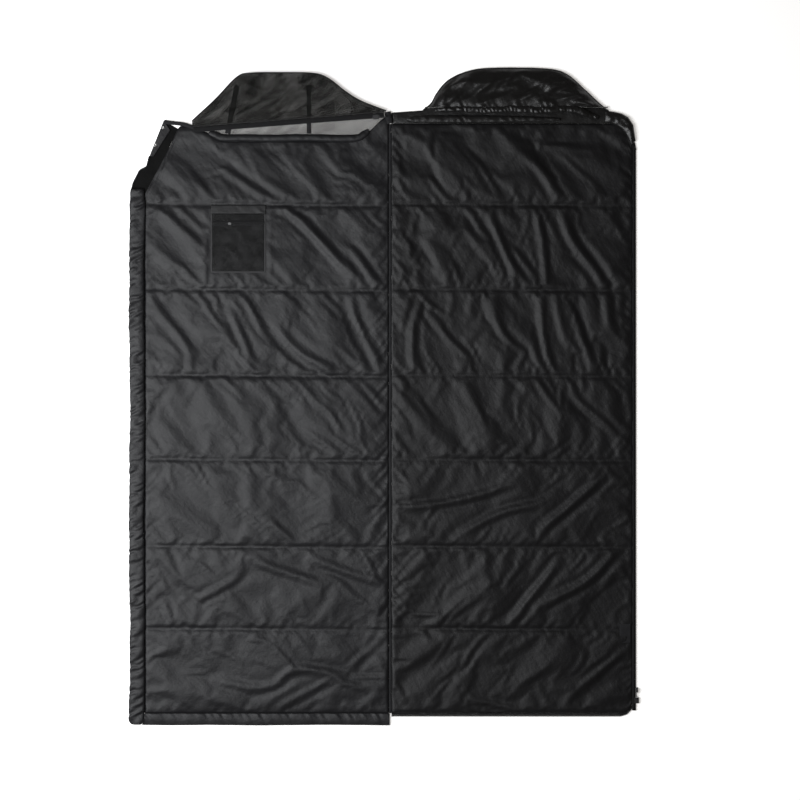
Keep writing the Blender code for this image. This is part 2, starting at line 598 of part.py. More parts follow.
def corner():
    """The cut corner's gusset and its flap with two press studs."""
    side = HALF_WIDTH + GAP
    outer = [(HALF_WIDTH + out, up) for out, up in GUSSET_EDGE]
    inner = [(side, GUSSET_EDGE[-1][1]), (side, -CORNER_DOWN + 0.001), (HALF_WIDTH - CORNER_ALONG + GAP, -0.011)]
    prism("corner_gusset", [net_side(*p) for p in (*FLAP_OUTER, *outer, *inner)], 0, GUSSET, "black_nylon")
    low = GUSSET + GAP
    prism("corner_flap", [net_side(*p) for p in (*FLAP_OUTER, *reversed(FLAP_INNER))], low, low + FLAP_THICKNESS,
          "black_nylon")
    for name, place in zip(("press_stud_upper", "press_stud_lower"), STUD_PLACES):
        disc = bmesh.new()
        bmesh.ops.create_cone(disc, cap_ends=True, segments=24, radius1=STUD_RADIUS, radius2=0.8 * STUD_RADIUS,
                              depth=STUD_HEIGHT)
        stud_low = low + FLAP_THICKNESS + GAP
        bmesh.ops.translate(disc, vec=(*net_side(*place), stud_low + STUD_HEIGHT / 2), verts=disc.verts)
        add(name, disc, "stud_metal")


for old in list(bpy.data.objects):
    bpy.data.objects.remove(old)
hood_half()
hood()
main_zip()
net_half()
net_back()
net_zip(net_front())
pocket()
corner()
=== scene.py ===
"""Looks of the camp quilt: a zip-round sleeping bag opened flat, lining up, hood and net at the head.

Metres, +Z up, head end towards +Y. Places on a half are given as (out, up): out from the centre
seam and up from the neck seam, as on the sewn pattern pieces.
"""
import math

import bmesh
import bpy
import numpy as np
from mathutils import Matrix, Vector


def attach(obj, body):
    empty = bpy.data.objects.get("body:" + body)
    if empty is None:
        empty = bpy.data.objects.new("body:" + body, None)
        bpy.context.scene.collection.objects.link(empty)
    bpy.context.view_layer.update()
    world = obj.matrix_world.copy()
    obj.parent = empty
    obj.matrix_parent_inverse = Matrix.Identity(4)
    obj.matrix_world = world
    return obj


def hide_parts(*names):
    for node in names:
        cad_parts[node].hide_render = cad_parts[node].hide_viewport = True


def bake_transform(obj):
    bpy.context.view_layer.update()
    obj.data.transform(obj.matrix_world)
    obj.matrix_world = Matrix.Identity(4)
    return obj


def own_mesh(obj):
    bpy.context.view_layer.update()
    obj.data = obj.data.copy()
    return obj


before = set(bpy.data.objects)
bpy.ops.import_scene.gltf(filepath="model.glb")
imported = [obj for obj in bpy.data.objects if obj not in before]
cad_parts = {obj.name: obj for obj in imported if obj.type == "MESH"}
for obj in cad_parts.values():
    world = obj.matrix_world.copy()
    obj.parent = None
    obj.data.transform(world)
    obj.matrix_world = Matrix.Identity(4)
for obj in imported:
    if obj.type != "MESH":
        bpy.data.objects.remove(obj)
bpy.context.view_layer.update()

# ---- pattern sizes, as on the sewn parts ----
SEAM_X = 0.0186
NECK_Y = 0.83215
BODY_LENGTH = 1.798
HALF_WIDTH = 0.748
HOOD_HALF_WIDTH = 0.740
SEAM_HALF_GAP = 0.004
QUILT_ROWS = (0.0, -0.2475, -0.507, -0.769, -1.026, -1.291, -1.542, -BODY_LENGTH)
LINING_LOW = 0.0062         # lining height where it is stitched down
LINING_CROWN = 0.0165       # and in the middle of a quilted row
LINING_DIP = 0.0008         # how far a hollow goes below the stitched height
LINING_HIGHEST = 0.0215     # limit of the folds
GATHERS_HIGHEST = 0.0225    # and of the gathers on top of them
LINING_THICK = 0.0010
SHELL_THICK = 0.0009
QUILT_STEP = 0.0110         # spacing of the cloth's points before they are made finer
FOLD_WIDTH = 0.66           # share of a fold's listed width and height that is laid in,
FOLD_HEIGHT = 0.60          # as the cloth's own slack adds the rest
PULL_CORD = 0.0015


def net_side(out, up):
    """Floor place of a point on the net half."""
    return SEAM_X - out, NECK_Y + up


def hood_side(out, up):
    """Floor place of a point on the hood half."""
    return SEAM_X + out, NECK_Y + up


# ---------------------------------------------------------------- camera and light
def set_camera():
    """Straight down on the opened quilt."""
    data = bpy.data.cameras.new("overhead")
    data.sensor_width = 36
    data.lens = 117.92
    data.clip_end = 30
    camera = bpy.data.objects.new("overhead", data)
    camera.location = (0.0488, -0.0107, 8.0)
    bpy.context.scene.collection.objects.link(camera)
    bpy.context.scene.camera = camera


def softbox(name, place, target, size, watts, colour):
    """A rectangular studio softbox aimed at a point."""
    data = bpy.data.lights.new(name, "AREA")
    data.shape = "RECTANGLE"
    data.size, data.size_y = size
    data.energy = watts
    data.color = colour
    lamp = bpy.data.objects.new(name, data)
    lamp.location = place
    lamp.rotation_euler = (Vector(target) - Vector(place)).to_track_quat("-Z", "Y").to_euler()
    bpy.context.scene.collection.objects.link(lamp)


def set_light():
    """A big key from the left and a warm, dim room."""
    softbox("key", (-1.75, -0.25, 2.35), (-0.1, 0.0, 0.0), (2.0, 3.0), 172, (0.965, 0.98, 1.0))
    world = bpy.data.worlds.new("room")
    world.use_nodes = True
    back = world.node_tree.nodes["Background"]
    back.inputs["Color"].default_value = (1.0, 0.925, 0.85, 1)
    back.inputs["Strength"].default_value = 0.13
    bpy.context.scene.world = world
    bpy.context.scene.view_settings.view_transform = "Standard"


# ---------------------------------------------------------------- finishes
class Number:
    """A shader value; maths on it adds the nodes that work it out."""

    def __init__(self, finish, socket):
        self.finish, self.socket = finish, socket

    def _maths(self, operation, first, second):
        node = self.finish.tree.nodes.new("ShaderNodeMath")
        node.operation = operation
        for slot, value in zip(node.inputs, (first, second)):
            self.finish.feed(slot, value)
        return Number(self.finish, node.outputs[0])

    def __add__(self, other):
        return self._maths("ADD", self, other)

    def __radd__(self, other):
        return self._maths("ADD", other, self)

    def __sub__(self, other):
        return self._maths("SUBTRACT", self, other)

    def __rsub__(self, other):
        return self._maths("SUBTRACT", other, self)

    def __mul__(self, other):
        return self._maths("MULTIPLY", self, other)

    def __rmul__(self, other):
        return self._maths("MULTIPLY", other, self)

    def __gt__(self, other):
        return self._maths("GREATER_THAN", self, other)

    def __or__(self, other):
        return self._maths("MAXIMUM", self, other)


class Finish:
    """One procedural finish with a Principled shader."""

    def __init__(self, name, colour, roughness, metallic=0.0, specular=0.5, sheen=0.0):
        self.material = bpy.data.materials.new(name)
        self.material.use_nodes = True
        self.tree = self.material.node_tree
        self.shader = self.tree.nodes["Principled BSDF"]
        values = {"Base Color": (*colour, 1), "Roughness": roughness, "Metallic": metallic,
                  "Specular IOR Level": specular, "Sheen Weight": sheen, "Sheen Roughness": 0.4}
        for key, value in values.items():
            self.shader.inputs[key].default_value = value

    def feed(self, slot, value):
        """Links a value to a socket, or sets the socket to it."""
        if isinstance(value, Number):
            self.tree.links.new(value.socket, slot)
        else:
            slot.default_value = value

    def node(self, kind, settings=None, out=0, **values):
        """A node of any kind: its settings, then the values or links of its sockets."""
        made = self.tree.nodes.new(kind)
        for key, value in (settings or {}).items():
            setattr(made, key, value)
        for key, value in values.items():
            self.feed(made.inputs[key], value)
        return Number(self, made.outputs[out])

    def place(self, turn=0.0):
        """The place on the quilt, turned about the upright."""
        spot = self.tree.nodes.new("ShaderNodeTexCoord")
        return self.node("ShaderNodeMapping", Vector=Number(self, spot.outputs["Object"]),
                         Rotation=(0, 0, turn))

    def drawn(self, scale, turn, stretch):
        """Noise drawn out along one direction, as cloth creases are."""
        place = self.node("ShaderNodeMapping", Vector=self.place(turn=turn), Scale=(1.0, stretch, 1.0))
        return self.noise(scale, 4, place)

    def noise(self, scale, detail, place=None):
        """Soft random shares from 0 to 1."""
        return self.node("ShaderNodeTexNoise", Vector=place or self.place(), Scale=scale, Detail=detail)

    def threads(self, pitch, place=None, way="X"):
        """Bands of yarn across one direction, 0 to 1."""
        return self.node("ShaderNodeTexWave", {"bands_direction": way}, out=1, Vector=place or self.place(),
                         Scale=math.pi / (10 * pitch))

    def tint(self, share, low, high):
        """Base colour between two colours, by a share from 0 to 1."""
        mix = self.tree.nodes.new("ShaderNodeMix")
        mix.data_type = "RGBA"
        self.feed(mix.inputs[0], share)
        mix.inputs[6].default_value, mix.inputs[7].default_value = (*low, 1), (*high, 1)
        self.tree.links.new(mix.outputs[2], self.shader.inputs["Base Color"])

    def bump(self, height, distance, strength):
        """Relief from a height in shares of a distance."""
        shown = self.node("ShaderNodeBump", Height=height, Distance=distance, Strength=strength)
        self.feed(self.shader.inputs["Normal"], shown)

    def rough(self, value):
        self.feed(self.shader.inputs["Roughness"], value)


def dim(colour, share):
    """A colour with less light in it, or more where the share is over 1."""
    return tuple(share * c for c in colour)


def satin(name, colour, roughness, specular, turn=0.9, wrinkles=0.0):
    """Downproof nylon: fine weave, small creases along one direction and uneven gloss."""
    cloth = Finish(name, colour, roughness, specular=specular, sheen=0.05)
    patches = cloth.noise(9.0, 2)
    cloth.tint(patches, dim(colour, 0.75), dim(colour, 1.3))
    cloth.rough(roughness - 0.06 + 0.12 * cloth.noise(23.0, 2))
    weave = cloth.threads(0.0012, way="X") + cloth.threads(0.0012, way="Y")
    creases = cloth.noise(48.0, 4) + cloth.noise(130.0, 3) * 0.35 + cloth.drawn(11.0, turn, 3.4) * wrinkles
    cloth.bump(creases + weave * 0.03, 0.0040, 0.30)
    return cloth.material


def woven(name, colour, pitch, roughness=0.75):
    """Tape or webbing with a rib along its length."""
    cloth = Finish(name, colour, roughness, specular=0.15, sheen=0.02)
    ribs = cloth.threads(pitch, way="X") + cloth.threads(pitch, way="Y")
    cloth.tint(cloth.noise(60.0, 2), dim(colour, 0.7), dim(colour, 1.35))
    cloth.bump(ribs * 0.5 + cloth.noise(300.0, 2) * 0.3, 0.0006, 0.6)
    return cloth.material


def knitted(name, colour, pitch, cover, rumple, turn=0.0):
    """Open net: yarn crossing at a pitch, with clear holes that open and close where it is rumpled; the
    yarn's colour darkens and lightens along the same drawn creases, as painted shade and light of the
    rumples.
    """
    cloth = Finish(name, colour, 0.8, specular=0.08)
    place = cloth.place(turn=turn)
    drawn = cloth.drawn(15.0, -0.5, 2.8)
    edge = 1.0 - cover + rumple * (drawn - 0.5)
    yarn = (cloth.threads(pitch, place, "X") > edge) | (cloth.threads(pitch, place, "Y") > edge)
    cloth.feed(cloth.shader.inputs["Alpha"], yarn)
    # painted crease shade and light: the yarn darkens and lightens with the same drawn noise that rumples the
    # holes
    cloth.tint(drawn, dim(colour, 0.5), dim(colour, 1.5))
    return cloth.material


def metal(name, colour, roughness, metallic=1.0):
    """Painted or plated metal of zips and studs, with a little wear."""
    part = Finish(name, colour, roughness, metallic=metallic)
    wear = part.noise(700.0, 3)
    part.tint(wear, dim(colour, 0.8), dim(colour, 1.2))
    part.rough(roughness - 0.05 + 0.1 * wear)
    part.bump(part.noise(1500.0, 2), 0.0001, 0.3)
    return part.material


def fibre(name, colour):
    """Lofted filling."""
    wool = Finish(name, colour, 0.95, specular=0.1)
    wool.tint(wool.noise(40.0, 4), dim(colour, 0.85), colour)
    wool.bump(wool.noise(120.0, 5), 0.003, 0.6)
    return wool.material


def moulded(name, colour, roughness):
    """Rubbery or moulded plastic with a fine grain."""
    part = Finish(name, colour, roughness, specular=0.4)
    part.tint(part.noise(90.0, 2), dim(colour, 0.8), dim(colour, 1.2))
    part.bump(part.noise(1100.0, 2), 0.0002, 0.4)
    return part.material


def coiled(name, colour, pitch, way):
    """A wound zip coil's turns, with painted shade between them and a painted highlight on each."""
    part = Finish(name, colour, 0.38, specular=0.5)
    turns = part.threads(pitch, way=way)
    # painted shade and highlight: dark between the turns and light on their crests, following the bump
    part.tint(turns, dim(colour, 0.35), dim(colour, 1.4))
    part.bump(turns, 0.0008, 0.9)
    return part.material


set_camera()
set_light()

LINING = satin("lining_satin", (0.0042, 0.0042, 0.0050), 0.50, 0.24, 0.87, 1.5)
# a darker, less glossy copy of the lining satin for the hood half, which lies away from the key light:
# painted shade
RIGHT_LINING_PAINTED_SHADE = satin("right_lining_painted_shade_satin", (0.0036, 0.0035, 0.0039), 0.50, 0.19, 1.05, 1.5)
# near-black gusset nylon: painted shade of the deep recess under the cut corner's flap
CORNER_SHADE = satin("corner_gusset_painted_shade", (0.0012, 0.0012, 0.0012), 0.70, 0.08)
HOOD_LINING = satin("hood_satin", (0.0036, 0.0035, 0.0035), 0.34, 0.32, 0.3, 1.2)
SHELL = satin("shell_nylon", (0.009, 0.009, 0.010), 0.55, 0.2)
BATTING_WHITE = fibre("batting_white", (0.75, 0.74, 0.70))
BINDING = woven("seam_binding", (0.011, 0.011, 0.012), 0.0012)
TAPE = woven("zip_tape", (0.006, 0.006, 0.0065), 0.0010)
WEBBING = woven("webbing", (0.010, 0.010, 0.011), 0.0014)
HOOK = woven("hook_tape", (0.012, 0.012, 0.013), 0.0018, 0.9)
ELASTIC = woven("elastic", (0.05, 0.05, 0.05), 0.0016)
NET = knitted("insect_net", (0.012, 0.012, 0.0115), 0.0016, 0.46, 0.7)
FRONT_NET = knitted("front_insect_net", (0.0075, 0.0075, 0.0070), 0.0010, 0.70, 1.5, turn=0.62)
POCKET_MESH = knitted("pocket_mesh", (0.007, 0.007, 0.007), 0.0022, 0.27, 0.5, turn=0.785)
NET_SEAM = woven("net_seam", (0.016, 0.016, 0.016), 0.0010)
POCKET_BAND = satin("pocket_band_satin", (0.008, 0.008, 0.0085), 0.50, 0.25)
PALE_EDGE = woven("pocket_edge", (0.030, 0.030, 0.031), 0.0012)
DARK_METAL = metal("dark_metal", (0.05, 0.05, 0.052), 0.35, 0.8)
STUD_METAL = metal("stud_metal", (0.22, 0.22, 0.215), 0.36)
CORD_YARN = woven("cord_yarn", (0.020, 0.020, 0.021), 0.0009, 0.85)
SLIDER_METAL = metal("pocket_slider_metal", (0.07, 0.07, 0.07), 0.45)
GRIP = moulded("grip_rubber", (0.024, 0.024, 0.024), 0.55)
COIL_ALONG_Y = coiled("coil_along_side", (0.009, 0.009, 0.009), 0.0013, "Y")
COIL_ALONG_X = coiled("coil_across", (0.014, 0.014, 0.014), 0.0013, "X")


# ---------------------------------------------------------------- cloth forms
def ridge_line(x, y, line, width):
    """Distance to a crease line, in widths, and the share along it, for every point of a grid."""
    best = np.full(x.shape, 9.0)
    along = np.zeros(x.shape)
    total = sum(math.dist(a, b) for a, b in zip(line, line[1:]))
    passed = 0.0
    for (ax, ay), (bx, by) in zip(line, line[1:]):
        dx, dy = bx - ax, by - ay
        long = math.hypot(dx, dy)
        t = np.clip(((x - ax) * dx + (y - ay) * dy) / long ** 2, 0, 1)
        off = np.hypot(x - ax - t * dx, y - ay - t * dy)
        nearer = off < best
        best = np.where(nearer, off, best)
        along = np.where(nearer, (passed + t * long) / total, along)
        passed += long
    return best / width, along


def softened(line):
    """A line with its corners rounded off, by cutting them twice."""
    for _ in range(2):
        cut = [line[0]]
        for (ax, ay), (bx, by) in zip(line, line[1:]):
            cut.append((0.75 * ax + 0.25 * bx, 0.75 * ay + 0.25 * by))
            cut.append((0.25 * ax + 0.75 * bx, 0.25 * ay + 0.75 * by))
        line = [*cut, line[-1]]
    return line


def fold(x, y, line, width, height):
    """A cloth fold: a sharp ridge with a hollow on either side, fading out at both ends."""
    off, along = ridge_line(x, y, line, width)
    fade = np.clip(np.minimum(along, 1 - along) * 5 + 0.12, 0, 1)
    crest = np.exp(-off ** 1.25)
    hollow = np.exp(-((off - 2.1) / 0.9) ** 2)
    return height * fade * (crest - 0.42 * hollow)


def wander(count, seed):
    """A smooth random line of values from -1 to 1, as a function of place in steps."""
    values = np.random.default_rng(seed).uniform(-1, 1, count + 4)

    def at(t):
        t = np.clip(np.asarray(t, float), 0, count + 1)
        i = np.floor(t).astype(int)
        f = t - i
        f = f * f * (3 - 2 * f)
        return values[i] * (1 - f) + values[i + 1] * f
    return at


def ripple(x, y, cell, seed):
    """Smooth random relief with a given cell size, from -1 to 1."""
    rng = np.random.default_rng(seed)
    table = rng.uniform(-1, 1, (64, 64))
    u, v = np.asarray(x) / cell + 7.3, np.asarray(y) / cell + 11.1
    i, j = np.floor(u).astype(int), np.floor(v).astype(int)
    f, g = u - i, v - j
    f, g = f * f * (3 - 2 * f), g * g * (3 - 2 * g)
    i0, i1, j0, j1 = i % 64, (i + 1) % 64, j % 64, (j + 1) % 64
    return ((table[i0, j0] * (1 - f) + table[i1, j0] * f) * (1 - g)
            + (table[i0, j1] * (1 - f) + table[i1, j1] * f) * g)


def puckers(place, off, reach, height, pitch, seed, lean=0.0):
    """Short gathers that stand across a stitched line and die away from it."""
    row = wander(int(4.0 / pitch), seed)
    far = np.abs(off)
    shape = row((place + lean * off + 1.5) / pitch)
    return height * shape * np.exp(-(far / reach) ** 1.3) * np.clip(far / 0.006 + 0.25, 0, 1)


def mesh_piece(name, verts, faces, finish, body):
    """A finished, smooth piece at the origin that rides on a body, if one is given."""
    data = bpy.data.meshes.new(name)
    data.from_pydata([tuple(v) for v in verts], [], faces)
    data.validate()
    data.polygons.foreach_set("use_smooth", [True] * len(data.polygons))
    data.materials.append(finish)
    made = bpy.data.objects.new(name, data)
    bpy.context.scene.collection.objects.link(made)
    if body:
        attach(made, body)
    return made


def closed_sheet(name, x, y, top, low, finish, body):
    """A closed sheet between a top and a lower surface over one grid of places."""
    rows, cols = x.shape
    count = rows * cols
    upper = np.stack([x, y, top], -1).reshape(-1, 3)
    under = np.stack([x, y, low], -1).reshape(-1, 3)

    def at(i, j):
        return i * cols + j

    faces = []
    for i in range(rows - 1):
        for j in range(cols - 1):
            quad = (at(i, j), at(i, j + 1), at(i + 1, j + 1), at(i + 1, j))
            faces.append(quad)
            faces.append(tuple(count + k for k in reversed(quad)))
    rim = ([at(0, j) for j in range(cols)] + [at(i, cols - 1) for i in range(1, rows)]
           + [at(rows - 1, j) for j in range(cols - 2, -1, -1)] + [at(i, 0) for i in range(rows - 2, 0, -1)])
    for a, b in zip(rim, rim[1:] + rim[:1]):
        faces.append((b, a, count + a, count + b))
    corner = np.cross(upper[cols] - upper[0], upper[1] - upper[0])[2]
    if corner > 0:
        faces = [tuple(reversed(f)) for f in faces]
    return mesh_piece(name, np.concatenate([upper, under]), faces, finish, body)


def finer(grid):
    """A grid of places or heights with a point between every two, along smooth lines, both ways."""
    for _ in range(2):
        rows, cols = grid.shape
        wide = np.empty((rows, 2 * cols - 1))
        wide[:, ::2] = grid
        wide[:, 1::2] = (grid[:, :-1] + grid[:, 1:]) / 2
        wide[:, 3:-3:2] = (9 * (grid[:, 1:-2] + grid[:, 2:-1]) - grid[:, :-3] - grid[:, 3:]) / 16
        grid = wide.T
    return grid


# ---------------------------------------------------------------- the two quilted halves
NECK_LINE = ((0.004, 0.024), (0.012, 0.024), (0.0336, 0.006), (0.060, -0.020), (0.105, -0.0534),
             (0.513, -0.0534), (0.550, -0.030), (0.600, -0.009), (0.644, -0.006), (0.674, -0.075),
             (0.714, -0.150), (0.742, -0.2015), (0.748, -0.216))
HOOD_NECK_LINE = ((0.004, -0.0003), (0.700, -0.0003), (0.722, -0.012), (0.740, -0.060))
FOOT_LINE = ((0.004, -BODY_LENGTH), (0.748, -BODY_LENGTH))
HOOD_FOOT_LINE = ((0.004, -BODY_LENGTH), (0.708, -BODY_LENGTH), (0.731, -1.789), (0.740, -1.768))


def row_lines(edge, neck_line, foot_line, fall):
    """The neck edge, the quilting lines and the foot edge of a half, as heights over out."""
    def along(k):
        return lambda out: QUILT_ROWS[k] + fall * (np.asarray(out) / edge - 0.5)
    ends = [lambda out, line=line: np.interp(out, *np.array(line).T) for line in (neck_line, foot_line)]
    return [ends[0], *(along(k) for k in range(1, len(QUILT_ROWS) - 1)), ends[1]]


def half_grid(edge, lines, step):
    """Places (out, up) over one half, with grid lines along its quilting rows."""
    outs = np.linspace(SEAM_HALF_GAP, edge, round((edge - SEAM_HALF_GAP) / step) + 1)
    levels = [line(outs) for line in lines]
    ups = []
    for a, b in zip(levels, levels[1:]):
        steps = round(abs(np.mean(a) - np.mean(b)) / step)
        ups += [a + (b - a) * k / steps for k in range(steps)]
    ups.append(levels[-1])
    return np.tile(outs, (len(ups), 1)), np.array(ups)


def row_share(out, up, lines):
    """How far a place lies across its quilted row, from 0 at one stitched line to 1 at the next."""
    levels = [line(out) for line in lines]
    share = np.zeros_like(up)
    for a, b in zip(levels, levels[1:]):
        inside = (up <= a + 1e-9) & (up >= b - 1e-9)
        share = np.where(inside, (a - up) / np.maximum(a - b, 1e-6), share)
    return np.clip(share, 0, 1)


# main folds of the lining: line over (out, up), width and height
NET_FOLDS = (
    (((0.67, -0.195), (0.64, -0.265), (0.56, -0.335)), 0.016, 0.0040),
    (((0.64, -0.1), (0.55, -0.23)), 0.014, 0.0030),
    (((0.515, -0.13), (0.435, -0.19), (0.35, -0.24)), 0.015, 0.0035),
    (((0.35, -0.24), (0.27, -0.295), (0.175, -0.4), (0.105, -0.47)), 0.017, 0.0070),
    (((0.12, -0.37), (0.035, -0.5)), 0.014, 0.0045),
    (((0.125, -0.52), (0.1, -0.615), (0.05, -0.7), (0.025, -0.77)), 0.016, 0.0060),
    (((0.35, -0.62), (0.285, -0.695), (0.2, -0.74), (0.155, -0.77)), 0.018, 0.0065),
    (((0.45, -0.52), (0.38, -0.645)), 0.014, 0.0045),
    (((0.54, -0.515), (0.52, -0.57)), 0.011, 0.0035),
    (((0.49, -0.565), (0.42, -0.72)), 0.013, 0.0045),
    (((0.725, -0.55), (0.595, -0.7)), 0.017, 0.0040),
    (((0.27, -0.93), (0.16, -1.)), 0.014, 0.0040),
    (((0.185, -0.875), (0.145, -0.95)), 0.012, 0.0035),
    (((0.075, -0.795), (0.02, -0.865)), 0.012, 0.0040),
    (((0.365, -1.21), (0.3, -1.275)), 0.013, 0.0040),
    (((0.42, -1.335), (0.205, -1.405)), 0.016, 0.0045),
    (((0.24, -1.33), (0.02, -1.405)), 0.015, 0.0045),
    (((0.6, -1.46), (0.46, -1.385)), 0.014, 0.0035),
    (((0.735, -1.215), (0.64, -1.415)), 0.017, 0.0035),
    (((0.685, -1.455), (0.67, -1.535)), 0.012, 0.0030),
    (((0.53, -1.7), (0.365, -1.73), (0.295, -1.65), (0.14, -1.685)), 0.015, 0.0045),
    (((0.35, -1.785), (0.17, -1.69)), 0.014, 0.0040),
    (((0.125, -1.66), (0.02, -1.57)), 0.013, 0.0035),
)
HOOD_HALF_FOLDS = (
    (((0.43, -0.1), (0.485, -0.17), (0.52, -0.25)), 0.017, 0.0070),
    (((0.52, -0.25), (0.555, -0.37), (0.655, -0.47), (0.665, -0.64)), 0.017, 0.0065),
    (((0.105, -0.515), (0.065, -0.625), (0.065, -0.755)), 0.014, 0.0045),
    (((0.075, -0.28), (0.055, -0.41)), 0.012, 0.0040),
    (((0.24, -0.255), (0.28, -0.34)), 0.012, 0.0040),
    (((0.3, -0.265), (0.35, -0.39), (0.39, -0.47)), 0.014, 0.0050),
    (((0.375, -0.38), (0.445, -0.47)), 0.012, 0.0040),
    (((0.445, -0.25), (0.47, -0.39), (0.475, -0.475)), 0.013, 0.0045),
    (((0.5, -0.515), (0.535, -0.68)), 0.013, 0.0045),
    (((0.46, -0.525), (0.465, -0.66), (0.5, -0.755)), 0.013, 0.0045),
    (((0.555, -0.56), (0.62, -0.755)), 0.014, 0.0045),
    (((0.32, -0.59), (0.35, -0.66), (0.42, -0.7), (0.375, -0.75)), 0.012, 0.0040),
    (((0.15, -0.63), (0.24, -0.71)), 0.012, 0.0035),
    (((0.12, -0.16), (0.155, -0.215)), 0.011, 0.0035),
    (((0.155, -0.04), (0.15, -0.185)), 0.012, 0.0035),
    (((0.015, -0.045), (0.035, -0.24)), 0.013, 0.0045),
    (((0.395, -0.06), (0.625, -0.08)), 0.011, 0.0035),
    (((0.46, -1.235), (0.54, -1.175), (0.64, -1.085)), 0.016, 0.0065),
    (((0.57, -0.845), (0.68, -0.935)), 0.013, 0.0040),
    (((0.36, -1.535), (0.43, -1.44), (0.515, -1.335)), 0.016, 0.0065),
    (((0.47, -1.46), (0.605, -1.4), (0.68, -1.315)), 0.015, 0.0055),
    (((0.02, -1.175), (0.19, -1.155), (0.39, -1.095)), 0.015, 0.0045),
    (((0.22, -1.245), (0.36, -1.175), (0.46, -1.165)), 0.014, 0.0045),
    (((0.585, -1.715), (0.71, -1.61)), 0.014, 0.0040),
    (((0.24, -1.755), (0.39, -1.785)), 0.012, 0.0035),
    (((0.02, -1.705), (0.045, -1.775)), 0.012, 0.0035),
)


def small_folds(count, seed, direction, spread, edge):
    """Seeded short creases over a half, mostly along one direction (out, up)."""
    rng = np.random.default_rng(seed)
    made = []
    for _ in range(count):
        out, up = rng.uniform(0.03, edge - 0.03), rng.uniform(-BODY_LENGTH + 0.03, -0.07)
        turn = direction(out, up) + rng.normal(0, spread)
        long = rng.uniform(0.04, 0.13)
        bow = rng.normal(0, 0.12)
        dx, dy = long * math.cos(turn), long * math.sin(turn)
        middle = (out - bow * dy / 2, up + bow * dx / 2)
        line = ((out - dx / 2, up - dy / 2), middle, (out + dx / 2, up + dy / 2))
        made.append((line, rng.uniform(0.0065, 0.0110), rng.uniform(0.0008, 0.0024)))
    return made


def net_lean(out, up):
    """Creases of the net half run from the head and side towards the foot and centre seam."""
    return math.radians(50) if up > -1.1 else math.radians(20)


def hood_lean(out, up):
    """Creases of the hood half run outwards and down near the head, outwards and up near the foot."""
    return math.radians(-65) if up > -0.95 else math.radians(38)


# "gather" is the frame at which the sewn edges have drawn the cut cloth in, and "frames" the last one
CLOTH = {"quality": 6, "mass": 0.15, "stretch": 25.0, "shear": 8.0, "bend": 0.03, "ease": 0.0012,
         "gather": 14, "frames": 26}


def panel(name, x, y, z, pinned, cut):
    """One quilted row as cloth, held along its stitching, cut a little larger than its frame."""
    rows, cols = x.shape
    sewn = np.stack([x, y, z], -1).reshape(-1, 3)
    faces = [(i * cols + j, i * cols + j + 1, (i + 1) * cols + j + 1, (i + 1) * cols + j)
             for i in range(rows - 1) for j in range(cols - 1)]
    data = bpy.data.meshes.new(name)
    data.from_pydata(cut.reshape(-1, 3).tolist(), [], faces)
    cloth = bpy.data.objects.new(name, data)
    bpy.context.scene.collection.objects.link(cloth)
    held = cloth.vertex_groups.new(name="stitched")
    for index in np.flatnonzero(pinned.reshape(-1)):
        held.add([int(index)], 1.0, "REPLACE")
    cloth.shape_key_add(name="Basis")
    frame_shape = cloth.shape_key_add(name="sewn")
    frame_shape.data.foreach_set("co", sewn.astype(np.float32).ravel())
    for number, value in ((1, 0.0), (CLOTH["gather"], 1.0)):
        frame_shape.value = value
        frame_shape.keyframe_insert("value", frame=number)
    modifier = cloth.modifiers.new("cloth", "CLOTH")
    setting = modifier.settings
    setting.quality = CLOTH["quality"]
    setting.mass = CLOTH["mass"]
    setting.tension_stiffness = setting.compression_stiffness = CLOTH["stretch"]
    setting.shear_stiffness = CLOTH["shear"]
    setting.bending_model = "ANGULAR"
    setting.bending_stiffness = CLOTH["bend"]
    setting.tension_damping = setting.compression_damping = setting.shear_damping = 5
    setting.bending_damping = 0.5
    setting.air_damping = 2
    setting.vertex_group_mass = "stitched"
    setting.pin_stiffness = 1
    setting.shrink_min = -CLOTH["ease"]
    setting.effector_weights.gravity = 0
    modifier.collision_settings.use_collision = False
    modifier.collision_settings.use_self_collision = False
    modifier.point_cache.frame_end = CLOTH["frames"]
    return cloth


